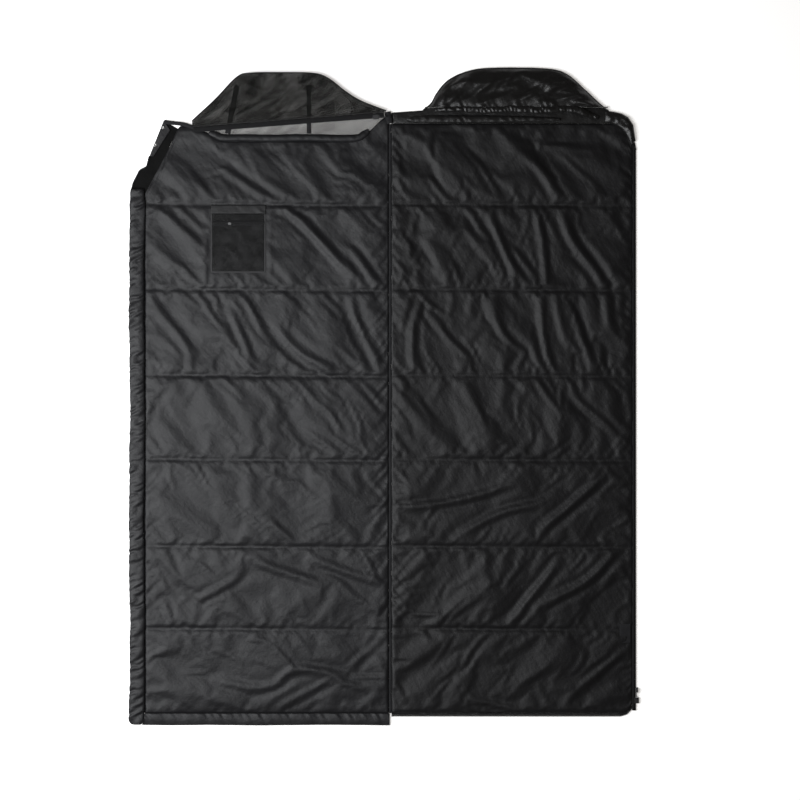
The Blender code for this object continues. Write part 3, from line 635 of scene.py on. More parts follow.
class Half:
    """One quilted half: its outline, rows and the height of its lining anywhere."""

    def __init__(self, name, side, edge, neck_line, foot_line, fall, folds, lean, seed, slack):
        self.name, self.side, self.edge, self.seed = name, side, edge, seed
        self.lines = row_lines(edge, neck_line, foot_line, fall)
        self.folds = [(softened(line), wide, tall) for line, wide, tall in folds]
        self.folds += small_folds(120, seed, lean, 0.38, edge)
        # the hood half takes the darker copy of the lining, painted shade of the side away from the key
        self.finish = LINING if side is net_side else RIGHT_LINING_PAINTED_SHADE
        self.calm = None            # a rectangle (out, out, up, up) under a sewn-on pocket
        self.slack = slack

    def loft(self, out, up, edge_reach=0.028):
        """How full the quilt is at a place, from 0 on its stitching to 1 in the middle of a row."""
        share = row_share(out, up, self.lines)
        sides = np.clip(np.minimum(out - SEAM_HALF_GAP, self.edge - out), 0, 1)
        return np.sin(np.pi * share) ** 0.40 * (1 - np.exp(-sides / edge_reach))

    def height(self, out, up):
        """Height of the lining: lofted rows, folds and small waves, calmer under a sewn-on pocket."""
        seed = self.seed
        loft = self.loft(out, up)
        relief = np.zeros_like(out)
        for line, width, height in self.folds:
            relief += fold(out, up, line, FOLD_WIDTH * width, FOLD_HEIGHT * height)
        relief += 0.0018 * ripple(out, up, 0.110, seed) + 0.0005 * ripple(out, up, 0.040, seed + 1)
        relief *= np.clip(loft * 1.6, 0, 1)
        if self.calm:
            near, far, low, high = self.calm
            inside = np.minimum(np.minimum(out - near, far - out), np.minimum(up - low, high - up))
            calm = np.clip(inside / 0.012 + 1, 0, 1)
            relief *= 1 - 0.30 * calm
            relief -= 0.0008 * calm
        base = LINING_LOW + (LINING_CROWN - LINING_LOW - 0.0060) * loft
        return np.clip(base + relief, LINING_LOW - LINING_DIP, LINING_HIGHEST)

    def gathers(self, out, up):
        """Short gathers along the stitching and both long edges."""
        seed = self.seed
        relief = puckers(up, out - SEAM_HALF_GAP, 0.032, 0.0030, 0.0150, seed + 30, 1.1)
        relief += puckers(up, self.edge - out, 0.026, 0.0024, 0.0150, seed + 31, -0.9)
        for k, line in enumerate(self.lines):
            relief += puckers(out, up - line(out), 0.020, 0.0014, 0.0160, seed + 10 + k, 0.5)
        return relief

    def drape(self, out, up, x, y, z):
        """Lets the slack of every quilted row buckle into creases between its stitched edges."""
        marks = [0]
        for line in self.lines[1:]:
            marks.append(int(np.argmin(np.abs(up[:, 0] - line(out[:1, :1])[0, 0]))))
        cloths = []
        for k, (first, last) in enumerate(zip(marks, marks[1:])):
            part = slice(first, last + 1)
            px, py, pz = x[part], y[part], z[part]
            pinned = np.zeros(px.shape, bool)
            pinned[[0, -1]] = True
            pinned[:, [0, -1]] = True
            if self.calm:
                near, far, low, high = self.calm
                margin = 0.006
                pinned |= ((out[part] > near - margin) & (out[part] < far + margin)
                           & (up[part] > low - margin) & (up[part] < high + margin))
            cut = np.stack([px, py, pz], -1)
            middle_x, middle_y = px.mean(), py.mean()
            for degrees, slack in self.slack[k]:
                normal = np.array([-math.sin(math.radians(degrees)), math.cos(math.radians(degrees))])
                along = (px - middle_x) * normal[0] + (py - middle_y) * normal[1]
                cut[..., 0] += slack * normal[0] * along
                cut[..., 1] += slack * normal[1] * along
            cloths.append(panel(f"{self.name}_row_{k}", px, py, pz, pinned, cut))
        scene = bpy.context.scene
        for number in range(1, CLOTH["frames"] + 1):
            scene.frame_set(number)
        shown = bpy.context.evaluated_depsgraph_get()
        for cloth, (first, last) in zip(cloths, zip(marks, marks[1:])):
            final = cloth.evaluated_get(shown).to_mesh()
            co = np.empty(len(final.vertices) * 3)
            final.vertices.foreach_get("co", co)
            co = co.reshape(last + 1 - first, x.shape[1], 3)
            x[first:last + 1], y[first:last + 1], z[first:last + 1] = co[..., 0], co[..., 1], co[..., 2]
        for cloth in cloths:
            bpy.data.objects.remove(cloth)
        scene.frame_set(1)
        return x, y, np.clip(z, LINING_LOW - LINING_DIP, LINING_HIGHEST)

    def build(self, body):
        """Its shell, batting and lining."""
        out, up = half_grid(self.edge, self.lines, QUILT_STEP)
        x, y = self.side(out, up)
        top = self.height(out, up)
        x, y, top = self.drape(out, up, x, y, top)
        out, up, x, y, top = (finer(grid) for grid in (out, up, x, y, top))
        top = top + self.gathers(out, up)
        for line in self.lines[1:-1]:
            top = top - 0.0018 * np.exp(-(np.abs(up - line(out)) / 0.0045) ** 1.2)
        top = np.clip(top, LINING_LOW - 0.0012, GATHERS_HIGHEST)
        lining = closed_sheet(self.name + "_lining_cloth", x, y, top, top - LINING_THICK, self.finish, body)
        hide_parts(self.name + "_lining")
        floor_of_cloth = lowest_near(top, 3) - 0.0014
        rows = sorted({*range(0, out.shape[0], 3), out.shape[0] - 1})
        cols = sorted({*range(0, out.shape[1], 3), out.shape[1] - 1})
        out, up, ceiling = (grid[np.ix_(rows, cols)] for grid in (out, up, floor_of_cloth))
        x, y = self.side(out, up)
        loft = self.loft(out, up)
        low = 0.0020 * (1 - loft) + 0.0004 + 0.0003 * ripple(out, up, 0.05, self.seed + 3) * loft
        shell = closed_sheet(self.name + "_shell_cloth", x, y, low + SHELL_THICK, low, SHELL, body)
        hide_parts(self.name + "_shell")
        fill_low = low + 0.0012
        fill_top = np.maximum(ceiling, fill_low + 0.0003)
        fill = closed_sheet(self.name + "_batting_fill", x, y, fill_top, fill_low, BATTING_WHITE, body)
        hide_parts(self.name + "_batting")


def lowest_near(grid, reach):
    """The lowest value around each place of a grid."""
    for axis in (0, 1):
        moved = [np.roll(grid, k, axis) for k in range(-reach, reach + 1)]
        lowest = np.min(moved, 0)
        keep = [slice(None)] * 2
        for edge in (slice(0, reach), slice(-reach, None)):
            keep[axis] = edge
            lowest[tuple(keep)] = grid[tuple(keep)]
        grid = lowest
    return grid


# for each quilted row, from the head: (crease direction in degrees, share of extra cloth)
NET_SLACK = [((-35, 0.009), (60, 0.002)), ((-42, 0.011), (60, 0.002)), ((-55, 0.010), (30, 0.002)),
             ((-42, 0.006), (40, 0.002)), ((-38, 0.005), (40, 0.002)), ((-25, 0.006), (60, 0.002)),
             ((-12, 0.007), (60, 0.002))]
HOOD_SLACK = [((-50, 0.010), (10, 0.004)), ((-66, 0.013), (20, 0.003)), ((-70, 0.012), (15, 0.003)),
              ((-60, 0.008), (35, 0.003)), ((24, 0.011), (-50, 0.003)), ((42, 0.012), (-50, 0.003)),
              ((30, 0.009), (-40, 0.003))]
# near, far, low and high edge of the mesh pocket on the net half
POCKET_RECT = (0.3785, 0.5465, -0.4548, -0.2475)
net_quilt = Half("net_half", net_side, HALF_WIDTH, NECK_LINE, FOOT_LINE, 0.006, NET_FOLDS, net_lean, 11,
                 NET_SLACK)
net_quilt.calm = POCKET_RECT
net_quilt.build("net_half")
hood_quilt = Half("hood_half", hood_side, HOOD_HALF_WIDTH, HOOD_NECK_LINE, HOOD_FOOT_LINE, -0.006,
                  HOOD_HALF_FOLDS, hood_lean, 52, HOOD_SLACK)
hood_quilt.build("hood_half")


# ---------------------------------------------------------------- rolled, gathered and narrow pieces
def run_lengths(line):
    """Length along a line up to each of its points."""
    return np.concatenate([[0], np.cumsum(np.linalg.norm(np.diff(line, axis=0), axis=1))])


def rolled(name, path, wide, tall, finish, body, gather=0.0, pitch=0.012, seed=1, sides=12, square=1.0,
           lean=0.8):
    """A stuffed or rolled strip along a path: an oval section, gathered by short ripples across it."""
    path = np.asarray(path, float)
    runs = np.gradient(path, axis=0)
    runs /= np.linalg.norm(runs, axis=1)[:, None]
    across = np.stack([-runs[:, 1], runs[:, 0], np.zeros(len(path))], -1)
    across /= np.linalg.norm(across, axis=1)[:, None]
    upward = np.cross(runs, across)
    reach = run_lengths(path)
    wide = np.broadcast_to(np.asarray(wide, float), reach.shape)
    tall = np.broadcast_to(np.asarray(tall, float), reach.shape)
    lines = [wander(int(reach[-1] / pitch) + 2, seed + k) for k in range(4)]
    verts, faces = [], []
    for i in range(len(path)):
        for k in range(sides):
            turn = 2 * math.pi * k / sides
            c, s = math.cos(turn), math.sin(turn)
            c, s = math.copysign(abs(c) ** square, c), math.copysign(abs(s) ** square, s)
            dent = gather * float(lines[k * 4 // sides](reach[i] / pitch + lean * math.cos(turn)))
            verts.append(path[i] + across[i] * c * (wide[i] / 2 + dent * 0.4)
                         + upward[i] * s * (tall[i] / 2 + dent))
    for i in range(len(path) - 1):
        for k in range(sides):
            a, b = i * sides + k, i * sides + (k + 1) % sides
            faces.append((a, a + sides, b + sides, b))
    faces.append(tuple(range(sides)))
    faces.append(tuple((len(path) - 1) * sides + k for k in reversed(range(sides))))
    made = mesh_piece(name, verts, faces, finish, body)
    outward(made)
    return made


def outward(piece):
    """Turns every face of a closed piece outwards."""
    shape = bmesh.new()
    shape.from_mesh(piece.data)
    bmesh.ops.remove_doubles(shape, verts=shape.verts, dist=1e-6)
    bmesh.ops.recalc_face_normals(shape, faces=shape.faces)
    shape.to_mesh(piece.data)
    shape.free()


def spaced(line, step):
    """Points along a polyline at an even spacing."""
    line = np.asarray(line, float)
    reach = run_lengths(line)
    at = np.linspace(0, reach[-1], max(2, round(reach[-1] / step) + 1))
    return np.stack([np.interp(at, reach, line[:, k]) for k in range(line.shape[1])], -1)


def between(line_a, line_b, along, across):
    """A grid of (out, up) places between two sewn edges."""
    ends = []
    for line in (line_a, line_b):
        line = np.asarray(line, float)
        reach = run_lengths(line)
        at = np.linspace(0, reach[-1], along)
        ends.append(np.stack([np.interp(at, reach, line[:, k]) for k in (0, 1)], -1))
    share = np.linspace(0, 1, across)[:, None, None]
    grid = ends[0][None] * (1 - share) + ends[1][None] * share
    return grid[..., 0], grid[..., 1]


def flap(name, side, line_a, line_b, height, thick, finish, body, steps):
    """A doubled strip of cloth between two edges; height is worked out from (out, up, share across)."""
    out, up = between(line_a, line_b, *steps)
    share = np.linspace(0, 1, steps[1])[:, None] * np.ones((1, steps[0]))
    top = height(out, up, share)
    x, y = side(out, up)
    made = closed_sheet(name, x, y, top, top - thick, finish, body)
    return made


def course(side, outs, ups, height):
    """A path over one half from places out and up, at one height."""
    return [(*side(out, up), height) for out, up in np.broadcast(outs, ups)]


def smooth_line(points, steps):
    """Places along a smooth curve through the points (Catmull-Rom)."""
    padded = [points[0], *points, points[-1]]
    places = []
    for i in range(len(points) - 1):
        a, b, c, d = (np.array(p, float) for p in padded[i:i + 4])
        for step in range(steps):
            t = step / steps
            places.append(0.5 * (2 * b + (c - a) * t + (2 * a - 5 * b + 4 * c - d) * t * t
                                 + (3 * b - a - 3 * c + d) * t ** 3))
    places.append(np.array(points[-1], float))
    return np.array(places)


# ---------------------------------------------------------------- hood
# start, width and height of the crown above the neck seam, and its arch in shares of them
HOOD_START, HOOD_WIDTH, HOOD_HEIGHT = 0.100, 0.570, 0.171
HOOD_PROFILE = ((0.0, 0.25), (0.045, 0.37), (0.075, 0.55), (0.125, 0.75), (0.19, 0.88), (0.28, 0.97),
                (0.40, 1.0), (0.66, 0.985), (0.77, 0.885), (0.87, 0.60), (0.94, 0.38), (1.0, 0.22))
HOOD_ARCH = smooth_line([(HOOD_START + a * HOOD_WIDTH, b * HOOD_HEIGHT) for a, b in HOOD_PROFILE], 6)
RIM_LOW, RIM_TOP = 0.0285, 0.0500       # edges of the gathered rim above the neck seam
HOOD_FOLDS = (
    (((0.150, 0.060), (0.205, 0.095), (0.250, 0.150)), 0.012, 0.0045),
    (((0.185, 0.052), (0.260, 0.085), (0.330, 0.140)), 0.011, 0.0040),
    (((0.235, 0.055), (0.320, 0.070), (0.420, 0.120)), 0.011, 0.0045),
    (((0.205, 0.125), (0.300, 0.118), (0.400, 0.150)), 0.012, 0.0035),
    (((0.330, 0.058), (0.430, 0.075), (0.520, 0.135)), 0.011, 0.0045),
    (((0.400, 0.145), (0.470, 0.125), (0.560, 0.120)), 0.010, 0.0035),
    (((0.420, 0.056), (0.520, 0.072), (0.600, 0.090)), 0.011, 0.0040),
    (((0.470, 0.100), (0.540, 0.098), (0.610, 0.068)), 0.010, 0.0035),
    (((0.540, 0.056), (0.610, 0.060), (0.640, 0.056)), 0.010, 0.0030),
    (((0.280, 0.150), (0.340, 0.158), (0.460, 0.158)), 0.008, 0.0025),
)


def arch_top(out):
    """Outer edge of the hood above the neck seam."""
    return np.interp(out, HOOD_ARCH[:, 0], HOOD_ARCH[:, 1])


def flattened(piece):
    """Gives a piece of the hood's front a mesh of its own."""
    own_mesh(piece)


def hood_back():
    """Back of the hood: shell, batting and lining, with the plain neck edge at both sides."""
    near, far = 0.004, 0.7195
    outs = np.linspace(near, far, 90)
    head = np.interp(outs, [near, 0.100], [0.036, 0.0428])
    head = np.where(outs > 0.100, arch_top(outs), head)
    right = np.interp(outs, [0.670, 0.702, far], [0.0376, 0.0186, 0.0010])
    head = np.where(outs > 0.670, right, head) - 0.0022
    share = np.linspace(0, 1, 24)[:, None]
    out = np.tile(outs, (24, 1))
    up = share * head[None, :]
    sides = np.minimum(np.minimum(out - near, far - out), np.minimum(up, head[None, :] - up))
    sides = np.clip(sides, 0, 1)
    loft = 1 - np.exp(-sides / 0.012)
    x, y = hood_side(out, up)
    relief = 0.0008 * ripple(out, up, 0.03, 71) + 0.0006 * ripple(out, up, 0.014, 72)
    parts = (("hood_back_shell", 0.0004 + 0.001 * (1 - loft), 0.0009, SHELL, "shell_nylon"),
             ("hood_back_batting", 0.0017 + 0.0008 * (1 - loft), None, BATTING_WHITE, "batting"),
             ("hood_back_lining", 0.0050 + 0.0022 * loft + relief * loft, 0.0009, HOOD_LINING,
              "lining_nylon"))
    for name, low, thick, finish, slot_name in parts:
        top = low + (thick if thick else 0.0002 + 0.0030 * loft)
        made = closed_sheet(name + "_cloth", x, y, top, low, finish, "hood")
        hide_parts(name)


def hood_front():
    """Front of the hood: a lofted satin panel thrown into diagonal folds above the gathered rim."""
    near, far = 0.106, 0.664
    outs = np.linspace(near, far, 120)
    top_edge = np.maximum(arch_top(outs) - 0.0025, RIM_TOP + 0.0012)
    rows = 44
    share = np.linspace(0, 1, rows)[:, None]
    out = np.tile(outs, (rows, 1))
    base = RIM_TOP - 0.002
    up = base + share * (top_edge - base)[None, :]
    edge_off = np.minimum((top_edge[None, :] - up) * 0.8, np.minimum(out - near, far - out))
    edge_off = np.clip(edge_off, 0, 1)
    puff = 1 - np.exp(-edge_off / 0.011)
    relief = np.zeros_like(out)
    for line, width, height in HOOD_FOLDS:
        relief += fold(out, up, softened(line), 1.3 * width, 1.15 * height)
    for line, width, height in hood_creases():
        relief += fold(out, up, line, width, height)
    relief += puckers(out, up - base, 0.020, 0.0022, 0.0085, 91, 0.5)
    relief += puckers(out, up - top_edge[None, :], 0.016, 0.0014, 0.0100, 92, 0.3)
    top = 0.0095 + 0.0165 * puff + relief * np.clip(puff, 0.15, 1)
    top = np.clip(top, 0.0090, 0.0330)
    x, y = hood_side(out, up)
    layers = (("hood_front_shell", 0.0, 0.0009, HOOD_LINING, "shell_nylon"),
              ("hood_front_batting", 0.0011, 0.0022, BATTING_WHITE, "batting"),
              ("hood_front_lining", 0.0035, 0.0009, HOOD_LINING, "lining_nylon"))
    for name, down, thick, finish, slot_name in layers:
        surface = top - down
        made = closed_sheet(name + "_cloth", x, y, surface, surface - thick, finish, "hood")
        flattened(made)
        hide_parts(name)


def hood_creases():
    """Seeded short creases of the hood's front."""
    rng = np.random.default_rng(93)
    made = []
    for _ in range(46):
        out, up = rng.uniform(0.15, 0.62), rng.uniform(0.055, 0.155)
        turn = math.radians(32 if out < 0.45 else 5) + rng.normal(0, 0.35)
        long = rng.uniform(0.03, 0.09)
        dx, dy = long * math.cos(turn) / 2, long * math.sin(turn) / 2
        line = ((out - dx, up - dy), (out + dx, up + dy))
        made.append((line, rng.uniform(0.005, 0.009), rng.uniform(0.001, 0.0026)))
    return made


def hood_seam():
    """Seam round the hood."""
    edge = [p for p in HOOD_ARCH if p[1] > 0.040]
    line = np.array([(*hood_side(out, up - 0.0022), 0.0085) for out, up in spaced(edge, 0.005)])
    seam = rolled("hood_edge_seam", line, 0.0046, 0.0060, HOOD_LINING, "hood", 0.0006, 0.006, 75, 8)
    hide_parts("hood_edge_binding")


def hood_rim():
    """Gathered rim of the hood's front, with the elastic in it; it droops at its right end."""
    outs = np.linspace(0.137, 0.633, 210)
    droop = np.interp(outs, [0.0, 0.56, 0.60, 0.633], [0, 0, -0.012, -0.024])
    sway = 0.0020 * np.sin(outs * 38) + 0.0008 * np.sin(outs * 121 + 1)
    ups = (RIM_LOW + RIM_TOP) / 2 + 0.002 + droop + sway
    heights = np.interp(outs, [0.137, 0.165, 0.58, 0.633], [0.0205, 0.0255, 0.0255, 0.0160])
    line = np.array([(*hood_side(o, u), z) for o, u, z in zip(outs, ups, heights)])
    wide = np.interp(outs, [0.137, 0.20, 0.40, 0.59, 0.633], [0.011, 0.017, 0.021, 0.020, 0.010])
    casing = rolled("hood_rim_gathers", line, wide, 0.0078, HOOD_LINING, "hood", 0.0017, 0.0052, 76, 16)
    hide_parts("hood_rim_casing")
    flattened(casing)
    band = rolled("hood_rim_elastic_band", line[::2], wide[::2] * 0.5, 0.0016, ELASTIC, "hood", 0, 0.01, 1,
                  8, 0.5)
    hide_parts("hood_rim_elastic")
    flattened(band)


def neck_roll():
    """Stuffed roll along the neck, under the rim."""
    outs = np.linspace(0.051, 0.519, 150)
    line = np.array([(*hood_side(o, 0.0138 - 0.002 * (o - 0.05)), 0.0114) for o in outs])
    wide = np.interp(outs, [0.051, 0.075, 0.30, 0.50, 0.519], [0.010, 0.024, 0.024, 0.013, 0.007])
    roll = rolled("neck_roll_cloth", line, wide, 0.0072, HOOD_LINING, "hood", 0.0011, 0.0100, 77, 14)
    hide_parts("neck_roll")


hood_back()
hood_front()
hood_seam()
hood_rim()
neck_roll()


# ---------------------------------------------------------------- net at the head of the left half
NET_START, NET_WIDTH, NET_HEIGHT = 0.012, 0.5925, 0.157
NET_PROFILE = ((0.0, 0.26), (0.13, 0.45), (0.215, 0.65), (0.29, 0.87), (0.37, 0.985), (0.55, 1.0),
               (0.70, 0.99), (0.77, 0.91), (0.88, 0.48), (1.0, 0.06))
NET_ARCH = smooth_line([(NET_START + a * NET_WIDTH, b * NET_HEIGHT) for a, b in NET_PROFILE], 6)
NET_ZIP_START, NET_ZIP_END = (0.018, 0.0300), (0.600, -0.0150)
NET_FRONT_LOW = 0.0163
NECK_OPENING = -0.0534      # low edge of the opening under the net
HEM_MIDDLE = NECK_OPENING + 0.0100
NET_CREASES = (
    (((0.560, 0.020), (0.500, 0.075), (0.440, 0.135)), 0.010, 0.0026),
    (((0.520, 0.010), (0.400, 0.060), (0.330, 0.140)), 0.010, 0.0028),
    (((0.420, 0.005), (0.300, 0.050), (0.250, 0.120)), 0.009, 0.0024),
    (((0.330, 0.010), (0.200, 0.045), (0.130, 0.075)), 0.009, 0.0026),
    (((0.470, 0.130), (0.400, 0.100), (0.300, 0.090)), 0.008, 0.0020),
    (((0.230, 0.030), (0.130, 0.050), (0.050, 0.050)), 0.008, 0.0020),
)


def zip_up(out):
    """Height of the net's zip above the neck seam."""
    (a, low), (b, high) = NET_ZIP_START, NET_ZIP_END
    return low + (high - low) * (np.asarray(out) - a) / (b - a)


def net_sheet(name, outs, low, high, height, rows, finish, body):
    """A single layer of net between two edges."""
    share = np.linspace(0, 1, rows)[:, None]
    out = np.tile(outs, (rows, 1))
    up = low[None, :] * (1 - share) + high[None, :] * share
    x, y = net_side(out, up)
    top = height(out, up)
    cols = len(outs)
    verts = np.stack([x, y, top], -1).reshape(-1, 3)
    faces = [(i * cols + j, (i + 1) * cols + j, (i + 1) * cols + j + 1, i * cols + j + 1)
             for i in range(rows - 1) for j in range(cols - 1)]
    made = mesh_piece(name, verts, faces, finish, body)
    return made


def nets():
    """Back net on the floor and front net above it."""
    outs = np.linspace(NET_START + 0.001, NET_START + NET_WIDTH - 0.001, 110)
    arch = np.interp(outs, NET_ARCH[:, 0], NET_ARCH[:, 1])
    lower = np.interp(outs, *np.array(NECK_LINE).T) + 0.0006
    lower = np.minimum(lower, arch - 0.002)
    back = net_sheet("back_net_cloth", outs, lower, arch - 0.0010,
                     lambda o, u: 0.0012 + 0.0008 * (1 + ripple(o, u, 0.03, 41)), 24, NET, "net_half")
    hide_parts("back_net")
    low = zip_up(outs) + 0.0075
    keep = arch - low > 0.0015
    outs, arch, low = outs[keep], arch[keep], low[keep]

    def raised(out, up):
        top = np.interp(out, NET_ARCH[:, 0], NET_ARCH[:, 1])
        near = np.clip(np.minimum(top - up, 0.05) / 0.022, 0, 1)
        relief = sum(fold(out, up, line, width, height) for line, width, height in NET_CREASES)
        relief = relief + 0.0016 * ripple(out, up, 0.028, 42) + 0.0008 * ripple(out, up, 0.012, 43)
        return np.clip(NET_FRONT_LOW + 0.0012 + 2.2 * relief * near, 0.0110, 0.0265)

    front = net_sheet("front_net_cloth", outs, low, arch - 0.0010, raised, 40, FRONT_NET, "net_front")
    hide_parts("front_net")


def net_trims():
    """Seam that joins the nets round the crown, and the two webbing straps of the back net."""
    line = [(*net_side(o, u - 0.0016), 0.0088) for o, u in spaced(NET_ARCH, 0.006)]
    seam = rolled("net_edge_seam", line, 0.0034, 0.0130, NET_SEAM, "net_half", 0.0005, 0.008, 44, 8)
    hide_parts("net_edge_binding")
    straps = (("net_tape_left", 0.482, 0.018, 0.018), ("net_tape_right", 0.2475, 0.014, 0.024))
    for name, out, width, top_width in straps:
        ups = np.linspace(-0.030, 0.118, 24)
        wide = np.interp(ups, [-0.030, 0.095, 0.118], [width, width, top_width])
        slant = (0.04 - ups) * (0.20 if out > 0.4 else 0.0)
        path = [(*net_side(out + s, u), 0.0034 + 0.0005 * math.sin(40 * u)) for s, u in zip(slant, ups)]
        tape = rolled(name + "_strap", path, wide * 0.94, 0.0012, WEBBING, "net_half", 0, 0.01, 1, 8, 0.35)
        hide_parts(name)


def neck_hem():
    """Padded hem across the neck opening."""
    straight = [(out, HEM_MIDDLE) for out in (0.104, 0.200, 0.310, 0.420, 0.506)]
    line = smooth_line([(0.064, -0.0215), (0.082, -0.0345), *straight, (0.530, -0.0345), (0.552, -0.0255)],
                       18)
    ends = np.clip(np.minimum(np.arange(len(line)), np.arange(len(line))[::-1]) / 16, 0, 1) ** 0.6
    path = [(*net_side(o, u + 0.001 * math.sin(30 * o)), 0.0066) for o, u in line]
    hem = rolled("neck_hem_roll", path, 0.010 + 0.0125 * ends, 0.0060 + 0.0060 * ends, LINING, "net_half",
                 0.0010, 0.0090, 45, 14)
    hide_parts("neck_hem")


# ---------------------------------------------------------------- draught tube, foot flap and cut corner
def draught_tube():
    """Stuffed tube along the net half's side, gathered where it is sewn on."""
    foot, neck, middle = -BODY_LENGTH - 0.034, -0.2000, 0.7722
    ups = np.linspace(foot, neck, 490)
    sway = 0.0014 * np.sin(ups * 9) + 0.0008 * np.sin(ups * 31 + 1)
    path = [(*net_side(middle + s, u), 0.0100) for s, u in zip(sway, ups)]
    top_end = 0.80 + 0.20 * np.clip((-0.1985 - ups) / 0.05, 0, 1) ** 0.5
    foot_end = 0.50 + 0.50 * np.clip((ups + BODY_LENGTH + 0.0345) / 0.012, 0, 1) ** 0.4
    wide = (0.0462 + 0.0012 * np.sin(ups * 17)) * top_end * foot_end
    tube = rolled("draught_tube_cloth", path, wide, 0.0118, LINING, "net_half", 0.0036, 0.0085, 46, 20,
                  0.85, 1.6)
    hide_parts("draught_tube_cover")
    low = [(x, y, z - 0.0012) for x, y, z in path]
    fill = rolled("draught_tube_fill", low[14:-20:4], wide[14:-20:4] * 0.72, 0.0040, BATTING_WHITE,
                  "net_half", 0, 0.02, 1, 12, 0.85)
    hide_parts("draught_tube_filling")


def foot_flap():
    """Flap below the foot seam that covers the foot zip from inside."""
    sewn = [(out, -BODY_LENGTH - 0.0006) for out in (0.001, 0.756)]
    widths = ((0.001, 0.0374), (0.19, 0.0356), (0.40, 0.0376), (0.56, 0.0360), (0.66, 0.0372),
              (0.756, 0.0360))
    free = [(out, -BODY_LENGTH - width) for out, width in widths]

    def height(out, up, share):
        return (0.0062 + 0.0022 * np.sin(np.pi * np.clip(share, 0, 1)) + 0.0009 * ripple(out, up, 0.03, 47)
                + puckers(out, share * 0.036, 0.022, 0.0022, 0.0120, 48, 0.6))
    made = flap("foot_flap_cloth", net_side, sewn, free, height, 0.0014, LINING, "net_half", (300, 14))
    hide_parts("foot_flap")


def corner_gusset():
    """Gusset of the cut corner, with a piped outer edge; its near-black colour is painted shade of the deep
    recess under the flap.
    """
    outer = ((0.6906, 0.0095), (0.7342, -0.0990), (0.7425, -0.131), (0.7644, -0.1426), (0.7834, -0.181),
             (0.7917, -0.2112))
    inner = ((0.6360, -0.0220), (0.6680, -0.0850), (0.7080, -0.1600), (0.7483, -0.2180))

    def sunk(out, up, share):
        return 0.0030 + 0.0006 * ripple(out, up, 0.02, 49) + 0.0030 * (share - 0.5) ** 2
    gusset = flap("corner_gusset_cloth", net_side, outer, inner, sunk, 0.0022, CORNER_SHADE, "net_half",
                  (70, 12))
    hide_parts("corner_gusset")
    rim = [(*net_side(o, u), 0.0042) for o, u in spaced(outer[1:], 0.006)]
    piping = rolled("corner_piping", rim, 0.0052, 0.0058, LINING, "net_half", 0.0006, 0.009, 50, 8)


def corner_flap():
    """Flap over the cut corner, with two press studs."""
    outer = ((0.6906, 0.0098), (0.7342, -0.0988))
    inner = ((0.6702, -0.0200), (0.7217, -0.0998))
    cap = ((0.0000, 0.0011), (0.0016, 0.0010), (0.0024, 0.0016), (0.0036, 0.0020), (0.0046, 0.0014),
           (0.0050, 0.0004), (0.0050, 0.0000))

    def lifted(out, up, share):
        return 0.0060 + 0.0008 * np.sin(np.pi * share) + 0.0004 * ripple(out, up, 0.018, 51)
    strip = flap("corner_flap_cloth", net_side, outer, inner, lifted, 0.0024, LINING, "corner_flap", (48, 10))
    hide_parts("corner_flap")
    for name, spot in (("press_stud_upper", (0.6925, -0.0120)), ("press_stud_lower", (0.7165, -0.0650))):
        stud = turned(name + "_cap", cap, 28, STUD_METAL, (*net_side(*spot), 0.0063), "corner_flap")
        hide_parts(name)


def turned(name, profile, sides, finish, place, body):
    """A turned piece from a profile of (radius, height), closed at both ends."""
    verts, faces = [(0, 0, profile[0][1])], []
    rings = [p for p in profile if p[0] > 0]
    turns = [2 * math.pi * k / sides for k in range(sides)]
    for radius, height in rings:
        verts += [(radius * math.cos(turn), radius * math.sin(turn), height) for turn in turns]
    verts.append((0, 0, rings[-1][1]))
    for k in range(sides):
        n = (k + 1) % sides
        faces.append((0, 1 + k, 1 + n))
        for i in range(len(rings) - 1):
            a, b = 1 + i * sides + k, 1 + i * sides + n
            faces.append((a, a + sides, b + sides, b))
        faces.append((len(verts) - 1, 1 + (len(rings) - 1) * sides + n, 1 + (len(rings) - 1) * sides + k))
    made = mesh_piece(name, [np.array(v) + np.array(place) for v in verts], faces, finish, body)
    outward(made)
    return made


# ---------------------------------------------------------------- mesh pocket and hook patch
POCKET_BAND_WIDTH = 0.027
POCKET_EDGE = 0.0050        # width of the binding that the mesh runs into


def on_lining(name, half, near, far, low, high, lift, thick, finish, body, steps, slot_name, sway=0.0):
    """A piece sewn flat onto the lining, which it follows."""
    out, up = np.meshgrid(np.linspace(near, far, steps[0]), np.linspace(high, low, steps[1]))
    top = half.height(out, up) + lift + thick + sway * ripple(out, up, 0.016, 61)
    x, y = half.side(out, up)
    made = closed_sheet(name, x, y, top, top - thick, finish, body)
    return made


def pocket():
    """Mesh pocket with a cloth band on top and an opening for its zip."""
    near, far, bottom, top = POCKET_RECT
    band_low = top - POCKET_BAND_WIDTH
    band = on_lining("pocket_band_cloth", net_quilt, near, far, band_low, top, 0.0004, 0.0012, POCKET_BAND,
                     "net_half", (60, 10), "lining_nylon", 0.0004)
    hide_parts("pocket_band")
    inner = (near + POCKET_EDGE, far - POCKET_EDGE)
    upper = on_lining("pocket_mesh_upper_cloth", net_quilt, *inner, band_low - 0.0223, band_low, 0.0006,
                      0.0004, POCKET_MESH, "net_half", (56, 8), "pocket_mesh", 0.0003)
    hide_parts("pocket_mesh_upper")
    lower = on_lining("pocket_mesh_lower_cloth", net_quilt, *inner, bottom + POCKET_EDGE,
                      band_low - 0.0323 - 0.002, 0.0006, 0.0004, POCKET_MESH, "net_half", (56, 44),
                      "pocket_mesh", 0.0009)
    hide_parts("pocket_mesh_lower")


